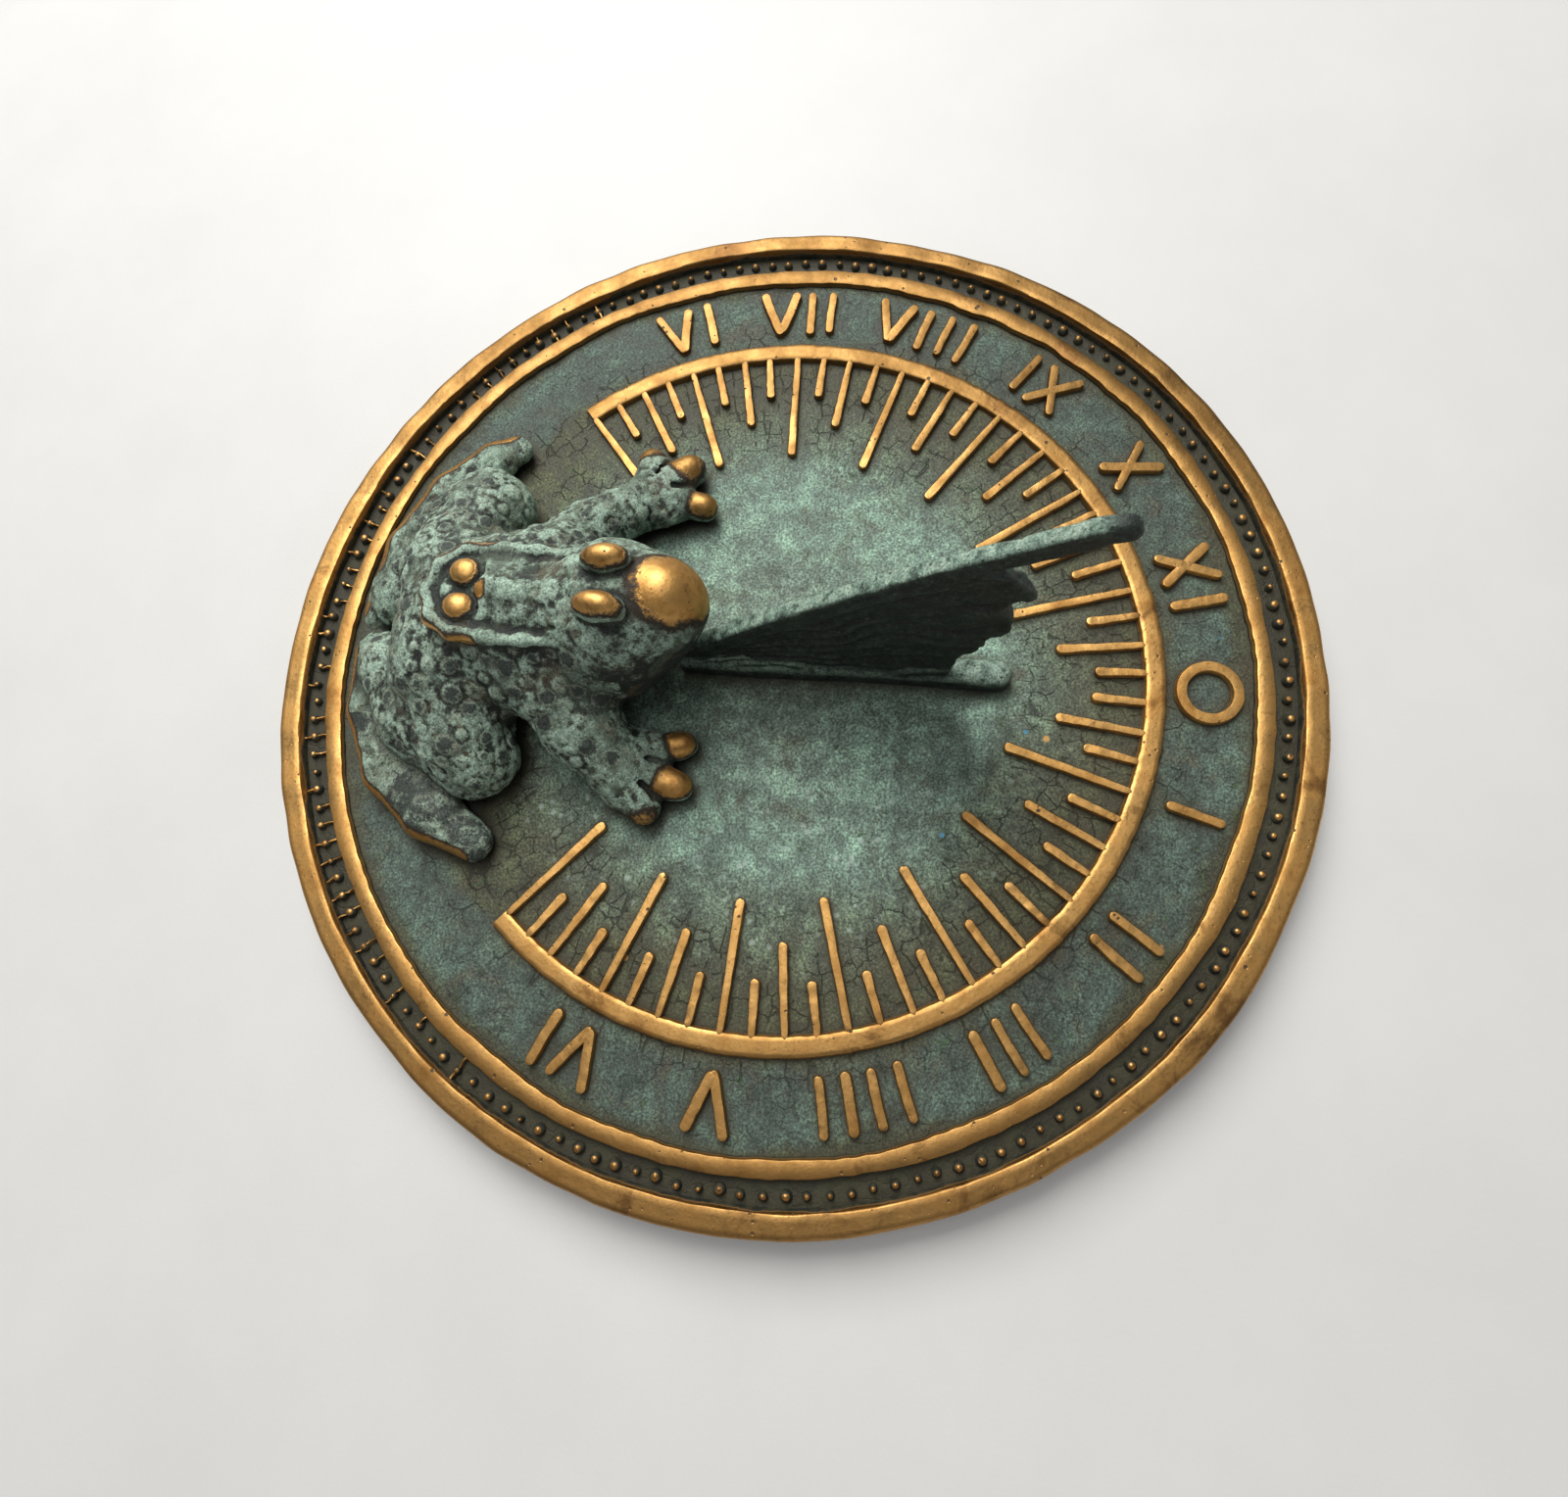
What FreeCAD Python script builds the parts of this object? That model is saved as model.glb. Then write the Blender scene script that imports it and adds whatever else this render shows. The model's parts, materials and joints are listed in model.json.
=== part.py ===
import FreeCAD, Part
import math
import os

import Sketcher
from FreeCAD import Placement, Rotation, Vector

# A cast brass garden sundial, in millimetres. +Z is up, +Y points to noon (true north when the dial
# is set up) and +X to the afternoon hours. The origin is the centre of the plane that the foot rests on.

doc = FreeCAD.newDocument("garden_sundial")

# ---------------------------------------------------------------- driving dimensions
DIMENSIONS = [
    # the dial casting, from its edge inwards
    ("dial_radius", 127.0, "outside radius of the dial"),
    ("rim_width", 4.95, "raised rim"),
    ("rim_height", 2.5, "rim above the ground of the dial"),
    ("rim_rounding", 1.6, "rounding of the rim's outer top edge"),
    ("channel_width", 6.8, "beaded channel inside the rim"),
    ("channel_depth", 0.5, "channel floor below the ground"),
    ("bead_radius", 0.8, "one bead"),
    ("bead_height", 1.5, "bead above the channel floor"),
    ("bead_count", 160, "beads round the channel"),
    ("ring_width", 3.75, "raised ring inside the channel"),
    ("relief_height", 1.5, "ring, numerals, hour band and ticks above the ground"),
    ("numeral_margin", 2.9, "ring to the tops of the numerals"),
    ("numeral_height", 14.0, "height of a numeral"),
    ("stroke_width", 1.8, "width of a numeral's stroke"),
    ("band_margin", 3.3, "numerals to the hour band"),
    ("band_width", 4.65, "hour band"),
    ("tick_width", 1.6, "width of an hour line"),
    ("short_tick", 11.7, "length of an eighth-hour line"),
    ("medium_tick", 20.0, "length of a half-hour line"),
    ("long_tick", 29.5, "length of an hour line"),
    ("quarter_angle", 4.745, "angle between two lines"),
    ("plate_thickness", 4.0, "wall of the dial under its ground"),
    ("foot_depth", 4.5, "hollow under the wall, down to the foot"),
    ("foot_width", 6.0, "foot ring under the rim"),
    ("foot_bevel", 1.5, "bevel under the foot's outer edge"),
    # the pedestal fixing
    ("boss_radius", 9.0, "boss for the pedestal's screw"),
    ("boss_height", 4.0, "boss below the wall"),
    ("pedestal_radius", 2.55, "wall of the tapped hole"),
    ("pedestal_depth", 6.5, "depth of the tapped hole"),
    # the gnomon
    ("noon_gap", 18.4, "foot's end to the first short hour lines"),
    ("tip_overhang", 4.4, "tip of the style past the foot's end"),
    ("style_start", 11.0, "top of the style at the frog's mouth, above the ground"),
    ("style_angle", 38.6, "rise of the style"),
    ("style_bow", 3.1, "camber of the style"),
    ("style_width", 4.2, "width of the style"),
    ("style_depth", 5.5, "depth of the style"),
    ("blade_thickness", 3.0, "blade between the style and the foot"),
    ("stem_width", 7.5, "width of the gnomon's foot"),
    ("stem_height", 6.5, "height of the gnomon's foot"),
    # the frog, measured from its mouth
    ("frog_length", 89.5, "mouth to heels"),
    ("frog_ring_gap", 1.0, "heels to the ring"),
    ("torso_radius", 24.0, "torso"),
    ("torso_lift", 11.0, "middle of the torso above the ground"),
    ("chest_radius", 17.0, "chest"),
    ("head_radius", 16.5, "head"),
    ("head_lift", 28.0, "middle of the head above the ground"),
    ("snout_radius", 11.0, "snout"),
    ("eye_radius", 4.5, "eyes"),
    ("hip_radius", 14.0, "top of the hind legs"),
    ("knee_radius", 10.0, "knees"),
    ("heel_radius", 10.0, "heels"),
    ("sole_radius", 6.5, "hind feet"),
    ("arm_radius", 6.5, "arms"),
    ("toe_radius", 4.0, "toes"),
    ("shell_thickness", 5.0, "wall of the hollow torso"),
    ("frog_boss_radius", 6.5, "screw bosses inside the torso"),
    ("slot_clearance", 0.4, "room round the gnomon in the frog's mouth"),
    ("line_clearance", 0.3, "room between the hands and the hour lines under them"),
    # the screws from below
    ("screw_radius", 2.08, "shank"),
    ("screw_clearance", 0.22, "room round a shank in the dial"),
    ("thread_clearance", 0.05, "room round a shank in its tapped hole"),
    ("screw_head_radius", 3.9, "pan head"),
    ("screw_head_height", 2.4, "pan head"),
    ("slot_width", 1.0, "driver slot"),
    ("slot_depth", 1.1, "driver slot"),
    ("washer_thickness", 1.0, "lock washer"),
    ("washer_radius", 3.6, "lock washer"),
    ("washer_split", 0.8, "gap in the lock washer"),
    ("gnomon_grip", 5.0, "screw in the gnomon"),
    ("frog_grip", 9.0, "screw in the frog"),
    ("thread_relief", 0.5, "tapped hole past the end of its screw"),
    ("boss_screw_gap", 1.6, "pedestal's boss to the head of the south gnomon screw"),
    ("north_screw_inset", 12.0, "north gnomon screw from the foot's end"),
    ("chest_screw_inset", 23.0, "chest screw behind the frog's mouth"),
    ("rump_screw_inset", 62.0, "rump screw behind the frog's mouth"),
]

sheet = doc.addObject("Spreadsheet::Sheet", "Sizes")
for row, (alias, size, meaning) in enumerate(DIMENSIONS, start=1):
    sheet.set(f"A{row}", alias)
    sheet.set(f"B{row}", str(size))
    sheet.set(f"C{row}", meaning)
    sheet.setAlias(f"B{row}", alias)
doc.recompute()


def size(*terms):
    """An expression that adds the terms up; a term is a cell's alias, -alias, a number or an expression."""
    parts = []
    for term in terms:
        text = str(term)
        sign = "-" if text.startswith("-") else "+"
        text = text.lstrip("-")
        is_alias = text.replace("_", "").isalpha()
        parts.append(f"{sign} {'Sizes.' + text if is_alias else text}")
    return "(0 " + " ".join(parts) + ")"


def value(expression):
    """The number that an expression stands for."""
    found = sheet.evalExpression(str(expression))
    return float(getattr(found, "Value", found))


def bind(thing, **expressions):
    """Binds properties, such as Radius or Placement_Base_x, to expressions."""
    for name, expression in expressions.items():
        thing.setExpression(name.replace("_", "."), str(expression))


# ---------------------------------------------------------------- levels and radii that pieces share
GROUND = size("foot_depth", "plate_thickness")
RELIEF = size(GROUND, "relief_height")
RIM_TOP = size(GROUND, "rim_height")
CHANNEL = size(GROUND, "-channel_depth")
RIM_INNER = size("dial_radius", "-rim_width")
RING_OUTER = size(RIM_INNER, "-channel_width")
RING_INNER = size(RING_OUTER, "-ring_width")
NUMERAL_FOOT = size(RING_INNER, "-numeral_margin", "-numeral_height")
BAND_OUTER = size(NUMERAL_FOOT, "-band_margin")
BAND_INNER = size(BAND_OUTER, "-band_width")
MOUTH = size("frog_length", "frog_ring_gap", f"(-1 * {RING_INNER})")
STEM_END = size(BAND_INNER, "-short_tick", "-noon_gap")
STYLE_RUN = size(STEM_END, "tip_overhang", f"(-1 * {MOUTH})")
STYLE_TIP = size(GROUND, "style_start", f"{STYLE_RUN} * tan(Sizes.style_angle * 1 deg)")
SCREW_HEAD_TOP = size("foot_depth", "-washer_thickness")

# how far a cutting or joining shape goes past the face that it meets
OVERLAP = 1
LINES_PER_SIDE = 28

# A ball's seam is turned down to the ground and its poles to the sides, clear of where balls meet.
SEAM_TURN = Rotation(Vector(0, 1, 0), 90)
SIDES = (("east", 1), ("west", -1))

# Screws: name -> (y, how far the shank reaches into the piece it holds)
SCREWS = {
    "gnomon_screw_south": (size("boss_radius", "screw_head_radius", "boss_screw_gap"), "gnomon_grip"),
    "gnomon_screw_north": (size(STEM_END, "-north_screw_inset"), "gnomon_grip"),
    "frog_screw_chest": (size(MOUTH, "-chest_screw_inset"), "frog_grip"),
    "frog_screw_rump": (size(MOUTH, "-rump_screw_inset"), "frog_grip"),
}


# ---------------------------------------------------------------- building blocks
def labelled(thing, label):
    thing.Label = label
    return thing


def new_body(name):
    return doc.addObject("PartDesign::Body", name)


def plane(body, role):
    return next(f for f in body.Origin.OriginFeatures if f.Role == role)


def new_sketch(body, name, role, height=None, turn=0.0):
    """A sketch on one of its body's planes, raised by an expression and turned about its normal."""
    sketch = body.newObject("Sketcher::SketchObject", name)
    sketch.AttachmentSupport = [(plane(body, role), "")]
    sketch.MapMode = "FlatFace"
    sketch.AttachmentOffset = Placement(Vector(), Rotation(Vector(0, 0, 1), turn))
    if height is not None:
        bind(sketch, AttachmentOffset_Base_z=height)
    return sketch


def pin(sketch, edge, end, across, up):
    """Holds an edge's end at a place given by two expressions."""
    for kind, axis, expression in (("DistanceX", -2, across), ("DistanceY", -1, up)):
        if abs(value(expression)) < 1e-9:
            sketch.addConstraint(Sketcher.Constraint("PointOnObject", edge, end, axis))
        else:
            number = sketch.addConstraint(Sketcher.Constraint(kind, -1, 1, edge, end, value(expression)))
            sketch.setExpression(f"Constraints[{number}]", str(expression))


def outline(sketch, corners):
    """A closed outline of straight edges through corners given by expressions."""
    places = [Vector(value(across), value(up), 0) for across, up in corners]
    first = sketch.GeometryCount
    count = len(corners)
    for i in range(count):
        sketch.addGeometry(Part.LineSegment(places[i], places[(i + 1) % count]), False)
    for i in range(count):
        following = first + (i + 1) % count
        sketch.addConstraint(Sketcher.Constraint("Coincident", first + i, 2, following, 1))
    for i, (across, up) in enumerate(corners):
        pin(sketch, first + i, 1, across, up)


def circle(sketch, across, up, radius):
    centre = Vector(value(across), value(up), 0)
    edge = sketch.addGeometry(Part.Circle(centre, Vector(0, 0, 1), value(radius)), False)
    pin(sketch, edge, 3, across, up)
    number = sketch.addConstraint(Sketcher.Constraint("Radius", edge, value(radius)))
    sketch.setExpression(f"Constraints[{number}]", str(radius))


def pad(body, sketch, length, midplane=False):
    feature = body.newObject("PartDesign::Pad", sketch.Name + "_pad")
    feature.Profile = sketch
    feature.Length = value(length)
    feature.Midplane = midplane
    bind(feature, Length=length)
    body.Tip = feature
    doc.recompute()
    return feature


def pocket(body, sketch, length, upwards):
    """A pocket that must take material away; upwards cuts along the sketch's normal."""
    before = body.Shape.Volume
    feature = body.newObject("PartDesign::Pocket", sketch.Name + "_pocket")
    feature.Profile = sketch
    feature.Length = value(length)
    feature.Reversed = upwards
    bind(feature, Length=length)
    body.Tip = feature
    doc.recompute()
    if body.Shape.Volume >= before - 1e-6:
        raise ValueError(f"{feature.Name} cuts nothing")
    return feature


def turned(body, sketch):
    feature = body.newObject("PartDesign::Revolution", sketch.Name + "_turned")
    feature.Profile = sketch
    feature.ReferenceAxis = (sketch, ["V_Axis"])
    feature.Angle = 360
    body.Tip = feature
    doc.recompute()
    return feature


def round_the_dial(body, feature, count, angle, clockwise=True):
    """Repeats a feature about the dial's axis, over an angle given by an expression."""
    pattern = body.newObject("PartDesign::PolarPattern", feature.Name + "_round")
    pattern.Originals = [feature]
    pattern.Axis = (next(f for f in body.Origin.OriginFeatures if f.Role == "Z_Axis"), [""])
    pattern.Reversed = clockwise
    pattern.Occurrences = count
    pattern.Angle = value(angle)
    bind(pattern, Angle=angle)
    body.Tip = pattern
    doc.recompute()
    return pattern


def ball(name, place, radius):
    """A sphere at a place given by three expressions."""
    solid = doc.addObject("Part::Sphere", name)
    solid.Placement = Placement(Vector(), SEAM_TURN)
    bind(solid, Radius=radius)
    bind(solid, Placement_Base_x=place[0], Placement_Base_y=place[1], Placement_Base_z=place[2])
    return solid


def limb(name, start, end, start_radius, end_radius):
    """Two balls joined by a cone that is a little slimmer than they are."""
    a = Vector(*(value(e) for e in start))
    b = Vector(*(value(e) for e in end))
    cone = doc.addObject("Part::Cone", name + "_bone")
    gap = " + ".join(f"(({q}) - ({p}))^2" for p, q in zip(start, end))
    bind(cone, Height=f"sqrt({gap})")
    bind(cone, Radius1=f"{start_radius} * {BONE_SHARE}", Radius2=f"{end_radius} * {BONE_SHARE}")
    cone.Placement = Placement(Vector(), Rotation(Vector(0, 0, 1), b - a))
    bind(cone, Placement_Base_x=start[0], Placement_Base_y=start[1], Placement_Base_z=start[2])
    return [cone, ball(name + "_end", end, end_radius)]


def drum(name, y, bottom, radius, length, x=0):
    """An upright cylinder from expressions."""
    solid = doc.addObject("Part::Cylinder", name)
    bind(solid, Radius=radius, Height=length)
    bind(solid, Placement_Base_x=x, Placement_Base_y=y, Placement_Base_z=bottom)
    return solid


def fused(name, pieces):
    whole = doc.addObject("Part::MultiFuse", name)
    whole.Shapes = pieces
    return whole


def joined(name, pieces):
    """Curved pieces fused one after another, which keeps their union sound."""
    whole = pieces[0]
    for number, piece in enumerate(pieces[1:], start=1):
        fuse = doc.addObject("Part::Fuse", f"{name}_{number}")
        fuse.Base = whole
        fuse.Tool = piece
        whole = fuse
    return whole


def cut(name, base, tool):
    result = doc.addObject("Part::Cut", name)
    result.Base = base
    result.Tool = tool
    return result


# ---------------------------------------------------------------- dial casting
def dial_section(body):
    """The dial's turned section: foot, wall, ring, channel and rim."""
    sketch = new_sketch(body, "section", "XZ_Plane")
    foot_inner = size("dial_radius", "-foot_width")
    outline(sketch, [
        (0, size("foot_depth")),
        (foot_inner, size("foot_depth")),
        (foot_inner, 0),
        (size("dial_radius", "-foot_bevel"), 0),
        (size("dial_radius"), size("foot_bevel")),
        (size("dial_radius"), RIM_TOP),
        (RIM_INNER, RIM_TOP),
        (RIM_INNER, CHANNEL),
        (RING_OUTER, CHANNEL),
        (RING_OUTER, RELIEF),
        (RING_INNER, RELIEF),
        (RING_INNER, GROUND),
        (0, GROUND),
    ])
    turned(body, sketch)
    edge = next(
        f"Edge{i}" for i, e in enumerate(body.Shape.Edges, start=1)
        if isinstance(e.Curve, Part.Circle)
        and abs(e.Curve.Radius - value("Sizes.dial_radius")) < 1e-6
        and abs(e.Curve.Center.z - value(RIM_TOP)) < 1e-6
    )
    section = body.Tip
    rounding = body.newObject("PartDesign::Fillet", "rim_edge")
    rounding.Base = (section, [edge])
    bind(rounding, Radius="Sizes.rim_rounding")
    body.Tip = rounding
    doc.recompute()


def hour_band(body):
    """The band that carries the hour lines, closed by its last lines near five in the morning and seven."""
    sketch = new_sketch(body, "hour_band", "XY_Plane", GROUND)
    half = value("Sizes.quarter_angle") * (LINES_PER_SIDE - 0.5)
    low, high = math.radians(90 - half), math.radians(90 + half)
    up = Vector(0, 0, 1)
    rounds = []
    for radius in (BAND_OUTER, BAND_INNER):
        arc = Part.ArcOfCircle(Part.Circle(Vector(), up, value(radius)), low, high)
        edge = sketch.addGeometry(arc, False)
        sketch.addConstraint(Sketcher.Constraint("Coincident", edge, 3, -1, 1))
        number = sketch.addConstraint(Sketcher.Constraint("Radius", edge, value(radius)))
        sketch.setExpression(f"Constraints[{number}]", radius)
        rounds.append((edge, arc))
    (outer, outer_arc), (inner, inner_arc) = rounds
    for end, angle in ((1, 90 - half), (2, 90 + half)):
        start = outer_arc.StartPoint if end == 1 else outer_arc.EndPoint
        stop = inner_arc.StartPoint if end == 1 else inner_arc.EndPoint
        edge = sketch.addGeometry(Part.LineSegment(start, stop), False)
        sketch.addConstraint(Sketcher.Constraint("Coincident", outer, end, edge, 1))
        sketch.addConstraint(Sketcher.Constraint("Coincident", inner, end, edge, 2))
        sketch.addConstraint(Sketcher.Constraint("PointOnObject", -1, 1, edge))
        side = 1 if end == 1 else -1
        reach = f"{BAND_OUTER} * sin(Sizes.quarter_angle * {LINES_PER_SIDE - 0.5} * 1 deg) * {side}"
        number = sketch.addConstraint(Sketcher.Constraint("DistanceX", -1, 1, outer, end, value(reach)))
        sketch.setExpression(f"Constraints[{number}]", reach)
    pad(body, sketch, "Sizes.relief_height")


def hour_lines(body):
    """Hour lines each side of noon. Every fourth is long, the one between two long ones is medium."""
    kinds = (
        ("short", "Sizes.short_tick", 0, 2),
        ("medium", "Sizes.medium_tick", 1, 4),
        ("long", "Sizes.long_tick", 3, 4),
    )
    half = "Sizes.tick_width / 2"
    for kind, length, first, stride in kinds:
        count = len(range(first, LINES_PER_SIDE, stride))
        for side, sign in SIDES:
            turn = -sign * value("Sizes.quarter_angle") * (first + 0.5)
            sketch = new_sketch(body, f"{kind}_line_{side}", "XY_Plane", GROUND, turn)
            foot = f"({BAND_INNER} - {length})"
            top = f"({BAND_INNER} + Sizes.band_width / 2)"
            outline(sketch, [(f"-{half}", foot), (half, foot), (half, top), (f"-{half}", top)])
            line = pad(body, sketch, "Sizes.relief_height")
            spread = f"Sizes.quarter_angle * {stride * (count - 1)}"
            round_the_dial(body, line, count, spread, clockwise=sign > 0)


def bead_row(body):
    sketch = new_sketch(body, "bead", "XY_Plane", CHANNEL)
    circle(sketch, 0, size(RING_OUTER, "Sizes.channel_width / 2"), "Sizes.bead_radius")
    bead = pad(body, sketch, "Sizes.bead_height")
    round_the_dial(body, bead, int(value("Sizes.bead_count")), "360")


def underside(body):
    """The pedestal's boss with its tapped hole, and the clearance holes for the four screws."""
    boss_bottom = size("foot_depth", "-boss_height")
    boss = new_sketch(body, "boss", "XY_Plane", boss_bottom)
    circle(boss, 0, 0, "Sizes.boss_radius")
    pad(body, boss, size("boss_height", OVERLAP))
    tapped = new_sketch(body, "pedestal_hole", "XY_Plane", boss_bottom)
    circle(tapped, 0, 0, "Sizes.pedestal_radius")
    pocket(body, tapped, "Sizes.pedestal_depth", upwards=True)
    holes = new_sketch(body, "screw_holes", "XY_Plane", 0)
    for y, _grip in SCREWS.values():
        circle(holes, 0, y, size("screw_radius", "screw_clearance"))
    pocket(body, holes, size(RIM_TOP, OVERLAP), upwards=True)


def numeral_stroke(name, hour_angle, offset, lean):
    """One straight stroke: offset along the dial and lean are in the numeral's own upright frame."""
    bar = doc.addObject("Part::Box", name)
    bind(bar, Length="Sizes.stroke_width", Height="Sizes.relief_height")
    bar.setExpression("Width", f"Sizes.numeral_height / cos({abs(lean)} * 1 deg)")
    middle = value(size(NUMERAL_FOOT, "Sizes.numeral_height / 2"))
    tall = value("Sizes.numeral_height") / math.cos(math.radians(lean))
    corner = Vector(-value("Sizes.stroke_width") / 2, -tall / 2, value(GROUND))
    upright = Placement(Vector(0, middle, 0), Rotation())
    place_in_row = Placement(Vector(offset, 0, 0), Rotation(Vector(0, 0, 1), lean))
    round_dial = Placement(Vector(), Rotation(Vector(0, 0, 1), -hour_angle))
    bar.Placement = round_dial * upright * place_in_row * Placement(corner, Rotation())
    return bar


# the numerals' proportions: strokes apart, the open ends of V and X, and the room a V or an X takes
STROKE_PITCH = 5.6
V_SPREAD = 6.2
X_SPREAD = 6.6
V_WIDTH = 9.0
GLYPH_WIDTHS = {"I": STROKE_PITCH, "V": V_WIDTH, "X": V_WIDTH}
HOURS = [
    (1, "I"), (2, "II"), (3, "III"), (4, "IIII"), (5, "V"), (6, "VI"),
    (-1, "XI"), (-2, "X"), (-3, "IX"), (-4, "VIII"), (-5, "VII"), (-6, "VI"),
]


def numerals():
    """Roman hour numerals with their tops towards the rim."""
    lean_of_v = math.degrees(math.atan(V_SPREAD / 2 / value("Sizes.numeral_height")))
    lean_of_x = math.degrees(math.atan(X_SPREAD / value("Sizes.numeral_height")))
    bars = []
    for hour, letters in HOURS:
        angle = value("Sizes.quarter_angle") * (4 * abs(hour) - 0.5) * (1 if hour > 0 else -1)
        offset = -sum(GLYPH_WIDTHS[letter] for letter in letters) / 2
        side = "morning" if hour < 0 else "afternoon"
        for place, letter in enumerate(letters):
            middle = offset + GLYPH_WIDTHS[letter] / 2
            offset += GLYPH_WIDTHS[letter]
            name = f"{side}_{abs(hour)}_{place}_{letter}"
            if letter == "I":
                bars.append(numeral_stroke(name, angle, middle, 0))
            elif letter == "V":
                bars.append(numeral_stroke(name + "_left", angle, middle - V_SPREAD / 4, lean_of_v))
                bars.append(numeral_stroke(name + "_right", angle, middle + V_SPREAD / 4, -lean_of_v))
            else:
                bars.append(numeral_stroke(name + "_down", angle, middle, lean_of_x))
                bars.append(numeral_stroke(name + "_up", angle, middle, -lean_of_x))
    middle = size(NUMERAL_FOOT, "Sizes.numeral_height / 2")
    ring = drum("noon_ring", middle, GROUND, "Sizes.numeral_height / 2", "Sizes.relief_height")
    eye = size("Sizes.numeral_height / 2", "-stroke_width")
    hole = drum("noon_ring_eye", middle, GROUND, eye, "Sizes.relief_height")
    return [*bars, cut("noon_mark", ring, hole)]


def dial_plate():
    body = new_body("dial_casting")
    dial_section(body)
    hour_band(body)
    hour_lines(body)
    bead_row(body)
    underside(body)
    return labelled(fused("dial_with_numerals", [body, *numerals()]), "dial_plate")


# ---------------------------------------------------------------- gnomon
def cambered_bar(sketch, start, tip, tip_low, start_low, bend):
    """A bar between two arcs of one radius that bulge up; its corners and the radius are expressions."""
    corners = [Vector(value(a), value(b), 0) for a, b in (start, tip, tip_low, start_low)]

    def arc(a, b):
        along = b - a
        out = Vector(-along.y, along.x, 0).normalize()
        radius = value(bend)
        rise = radius - math.sqrt(radius ** 2 - (along.Length / 2) ** 2)
        edge = sketch.addGeometry(Part.Arc(a, (a + b) / 2 + out * rise, b), False)
        number = sketch.addConstraint(Sketcher.Constraint("Radius", edge, radius))
        sketch.setExpression(f"Constraints[{number}]", bend)
        return edge

    # an arc's own start is its clockwise end, so both arcs start at the tip
    upper = arc(corners[0], corners[1])
    lower = arc(corners[3], corners[2])
    nose = sketch.addGeometry(Part.LineSegment(corners[1], corners[2]), False)
    heel = sketch.addGeometry(Part.LineSegment(corners[0], corners[3]), False)
    for edge, a, b in ((upper, nose, heel), (lower, nose, heel)):
        end = 1 if edge == upper else 2
        sketch.addConstraint(Sketcher.Constraint("Coincident", edge, 1, a, end))
        sketch.addConstraint(Sketcher.Constraint("Coincident", edge, 2, b, end))
    pin(sketch, nose, 1, *tip)
    pin(sketch, nose, 2, *tip_low)
    pin(sketch, heel, 1, *start)
    pin(sketch, heel, 2, *start_low)


# shares of the style's depth: its raked nose, its deeper heel, and the blade's lap under it
NOSE_RAKE = 0.25
HEEL_SHARE = 1.2
BLADE_LAP = 0.5
# the blade's ragged end steps down from the style to the foot, as shares of the run and the rise
BLADE_END = [
    (0.760, 0.800), (0.771, 0.764), (0.854, 0.706), (0.902, 0.630), (0.839, 0.564),
    (0.868, 0.456), (0.824, 0.315), (0.772, 0.176), (0.756, 0.040),
]


def gnomon():
    """The gnomon: a cambered style, the blade under it with its ragged end, and a round-ended foot."""
    body = new_body("gnomon_casting")
    start = (MOUTH, size(GROUND, "style_start"))
    tip = (size(STEM_END, "tip_overhang"), STYLE_TIP)
    tip_low = (size(tip[0], f"Sizes.style_depth * {NOSE_RAKE}"), f"({STYLE_TIP} - Sizes.style_depth)")
    start_low = (MOUTH, f"({start[1]} - Sizes.style_depth * {HEEL_SHARE})")
    chord_squared = f"({STYLE_RUN}^2 + ({STYLE_TIP} - {start[1]})^2)"
    bend = f"({chord_squared} / (8 * Sizes.style_bow) + Sizes.style_bow / 2)"
    bar = new_sketch(body, "style", "YZ_Plane")
    cambered_bar(bar, start, tip, tip_low, start_low, bend)
    pad(body, bar, "Sizes.style_width", midplane=True)

    rise = f"({STYLE_TIP} - {GROUND})"
    blade = new_sketch(body, "blade", "YZ_Plane")
    corners = [(MOUTH, GROUND), (MOUTH, f"{start[1]} - Sizes.style_depth * {BLADE_LAP}")]
    corners += [(f"({MOUTH} + {STYLE_RUN} * {y})", f"({GROUND} + {rise} * {z})") for y, z in BLADE_END]
    corners.append((f"({MOUTH} + {STYLE_RUN} * {BLADE_END[-1][0]})", GROUND))
    outline(blade, corners)
    pad(body, blade, "Sizes.blade_thickness", midplane=True)

    # the foot, with a half-round north end
    half = "Sizes.stem_width / 2"
    stem = new_sketch(body, "stem", "XY_Plane", GROUND)
    outline(stem, [
        (f"(-1 * {half})", MOUTH),
        (half, MOUTH),
        (half, size(STEM_END, f"(-1 * {half})")),
        (f"(-1 * {half})", size(STEM_END, f"(-1 * {half})")),
    ])
    pad(body, stem, "Sizes.stem_height")
    toe = new_sketch(body, "stem_end", "XY_Plane", GROUND)
    circle(toe, 0, size(STEM_END, f"(-1 * {half})"), half)
    pad(body, toe, "Sizes.stem_height")

    tapped = new_sketch(body, "tapped_holes", "XY_Plane", GROUND)
    for name, (y, grip) in SCREWS.items():
        if name.startswith("gnomon"):
            circle(tapped, 0, y, size("screw_radius", "thread_clearance"))
    pocket(body, tapped, size("gnomon_grip", "thread_relief"), upwards=True)
    return labelled(body, "gnomon")


# ---------------------------------------------------------------- frog
def local(across, ahead, up):
    """A place on the frog: across, ahead of its mouth (minus is behind) and above the ground."""
    return (across, size(MOUTH, f"({ahead})"), size(GROUND, f"({up})"))


# a bone is slimmer than the balls at its ends, which keeps their joins sound
BONE_SHARE = 0.93
RUMP_SHARE = 0.83
SHOULDER_SHARE = 1.4
LUMP_SHARE = 0.9
SLOT_FLARE = 6

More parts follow.
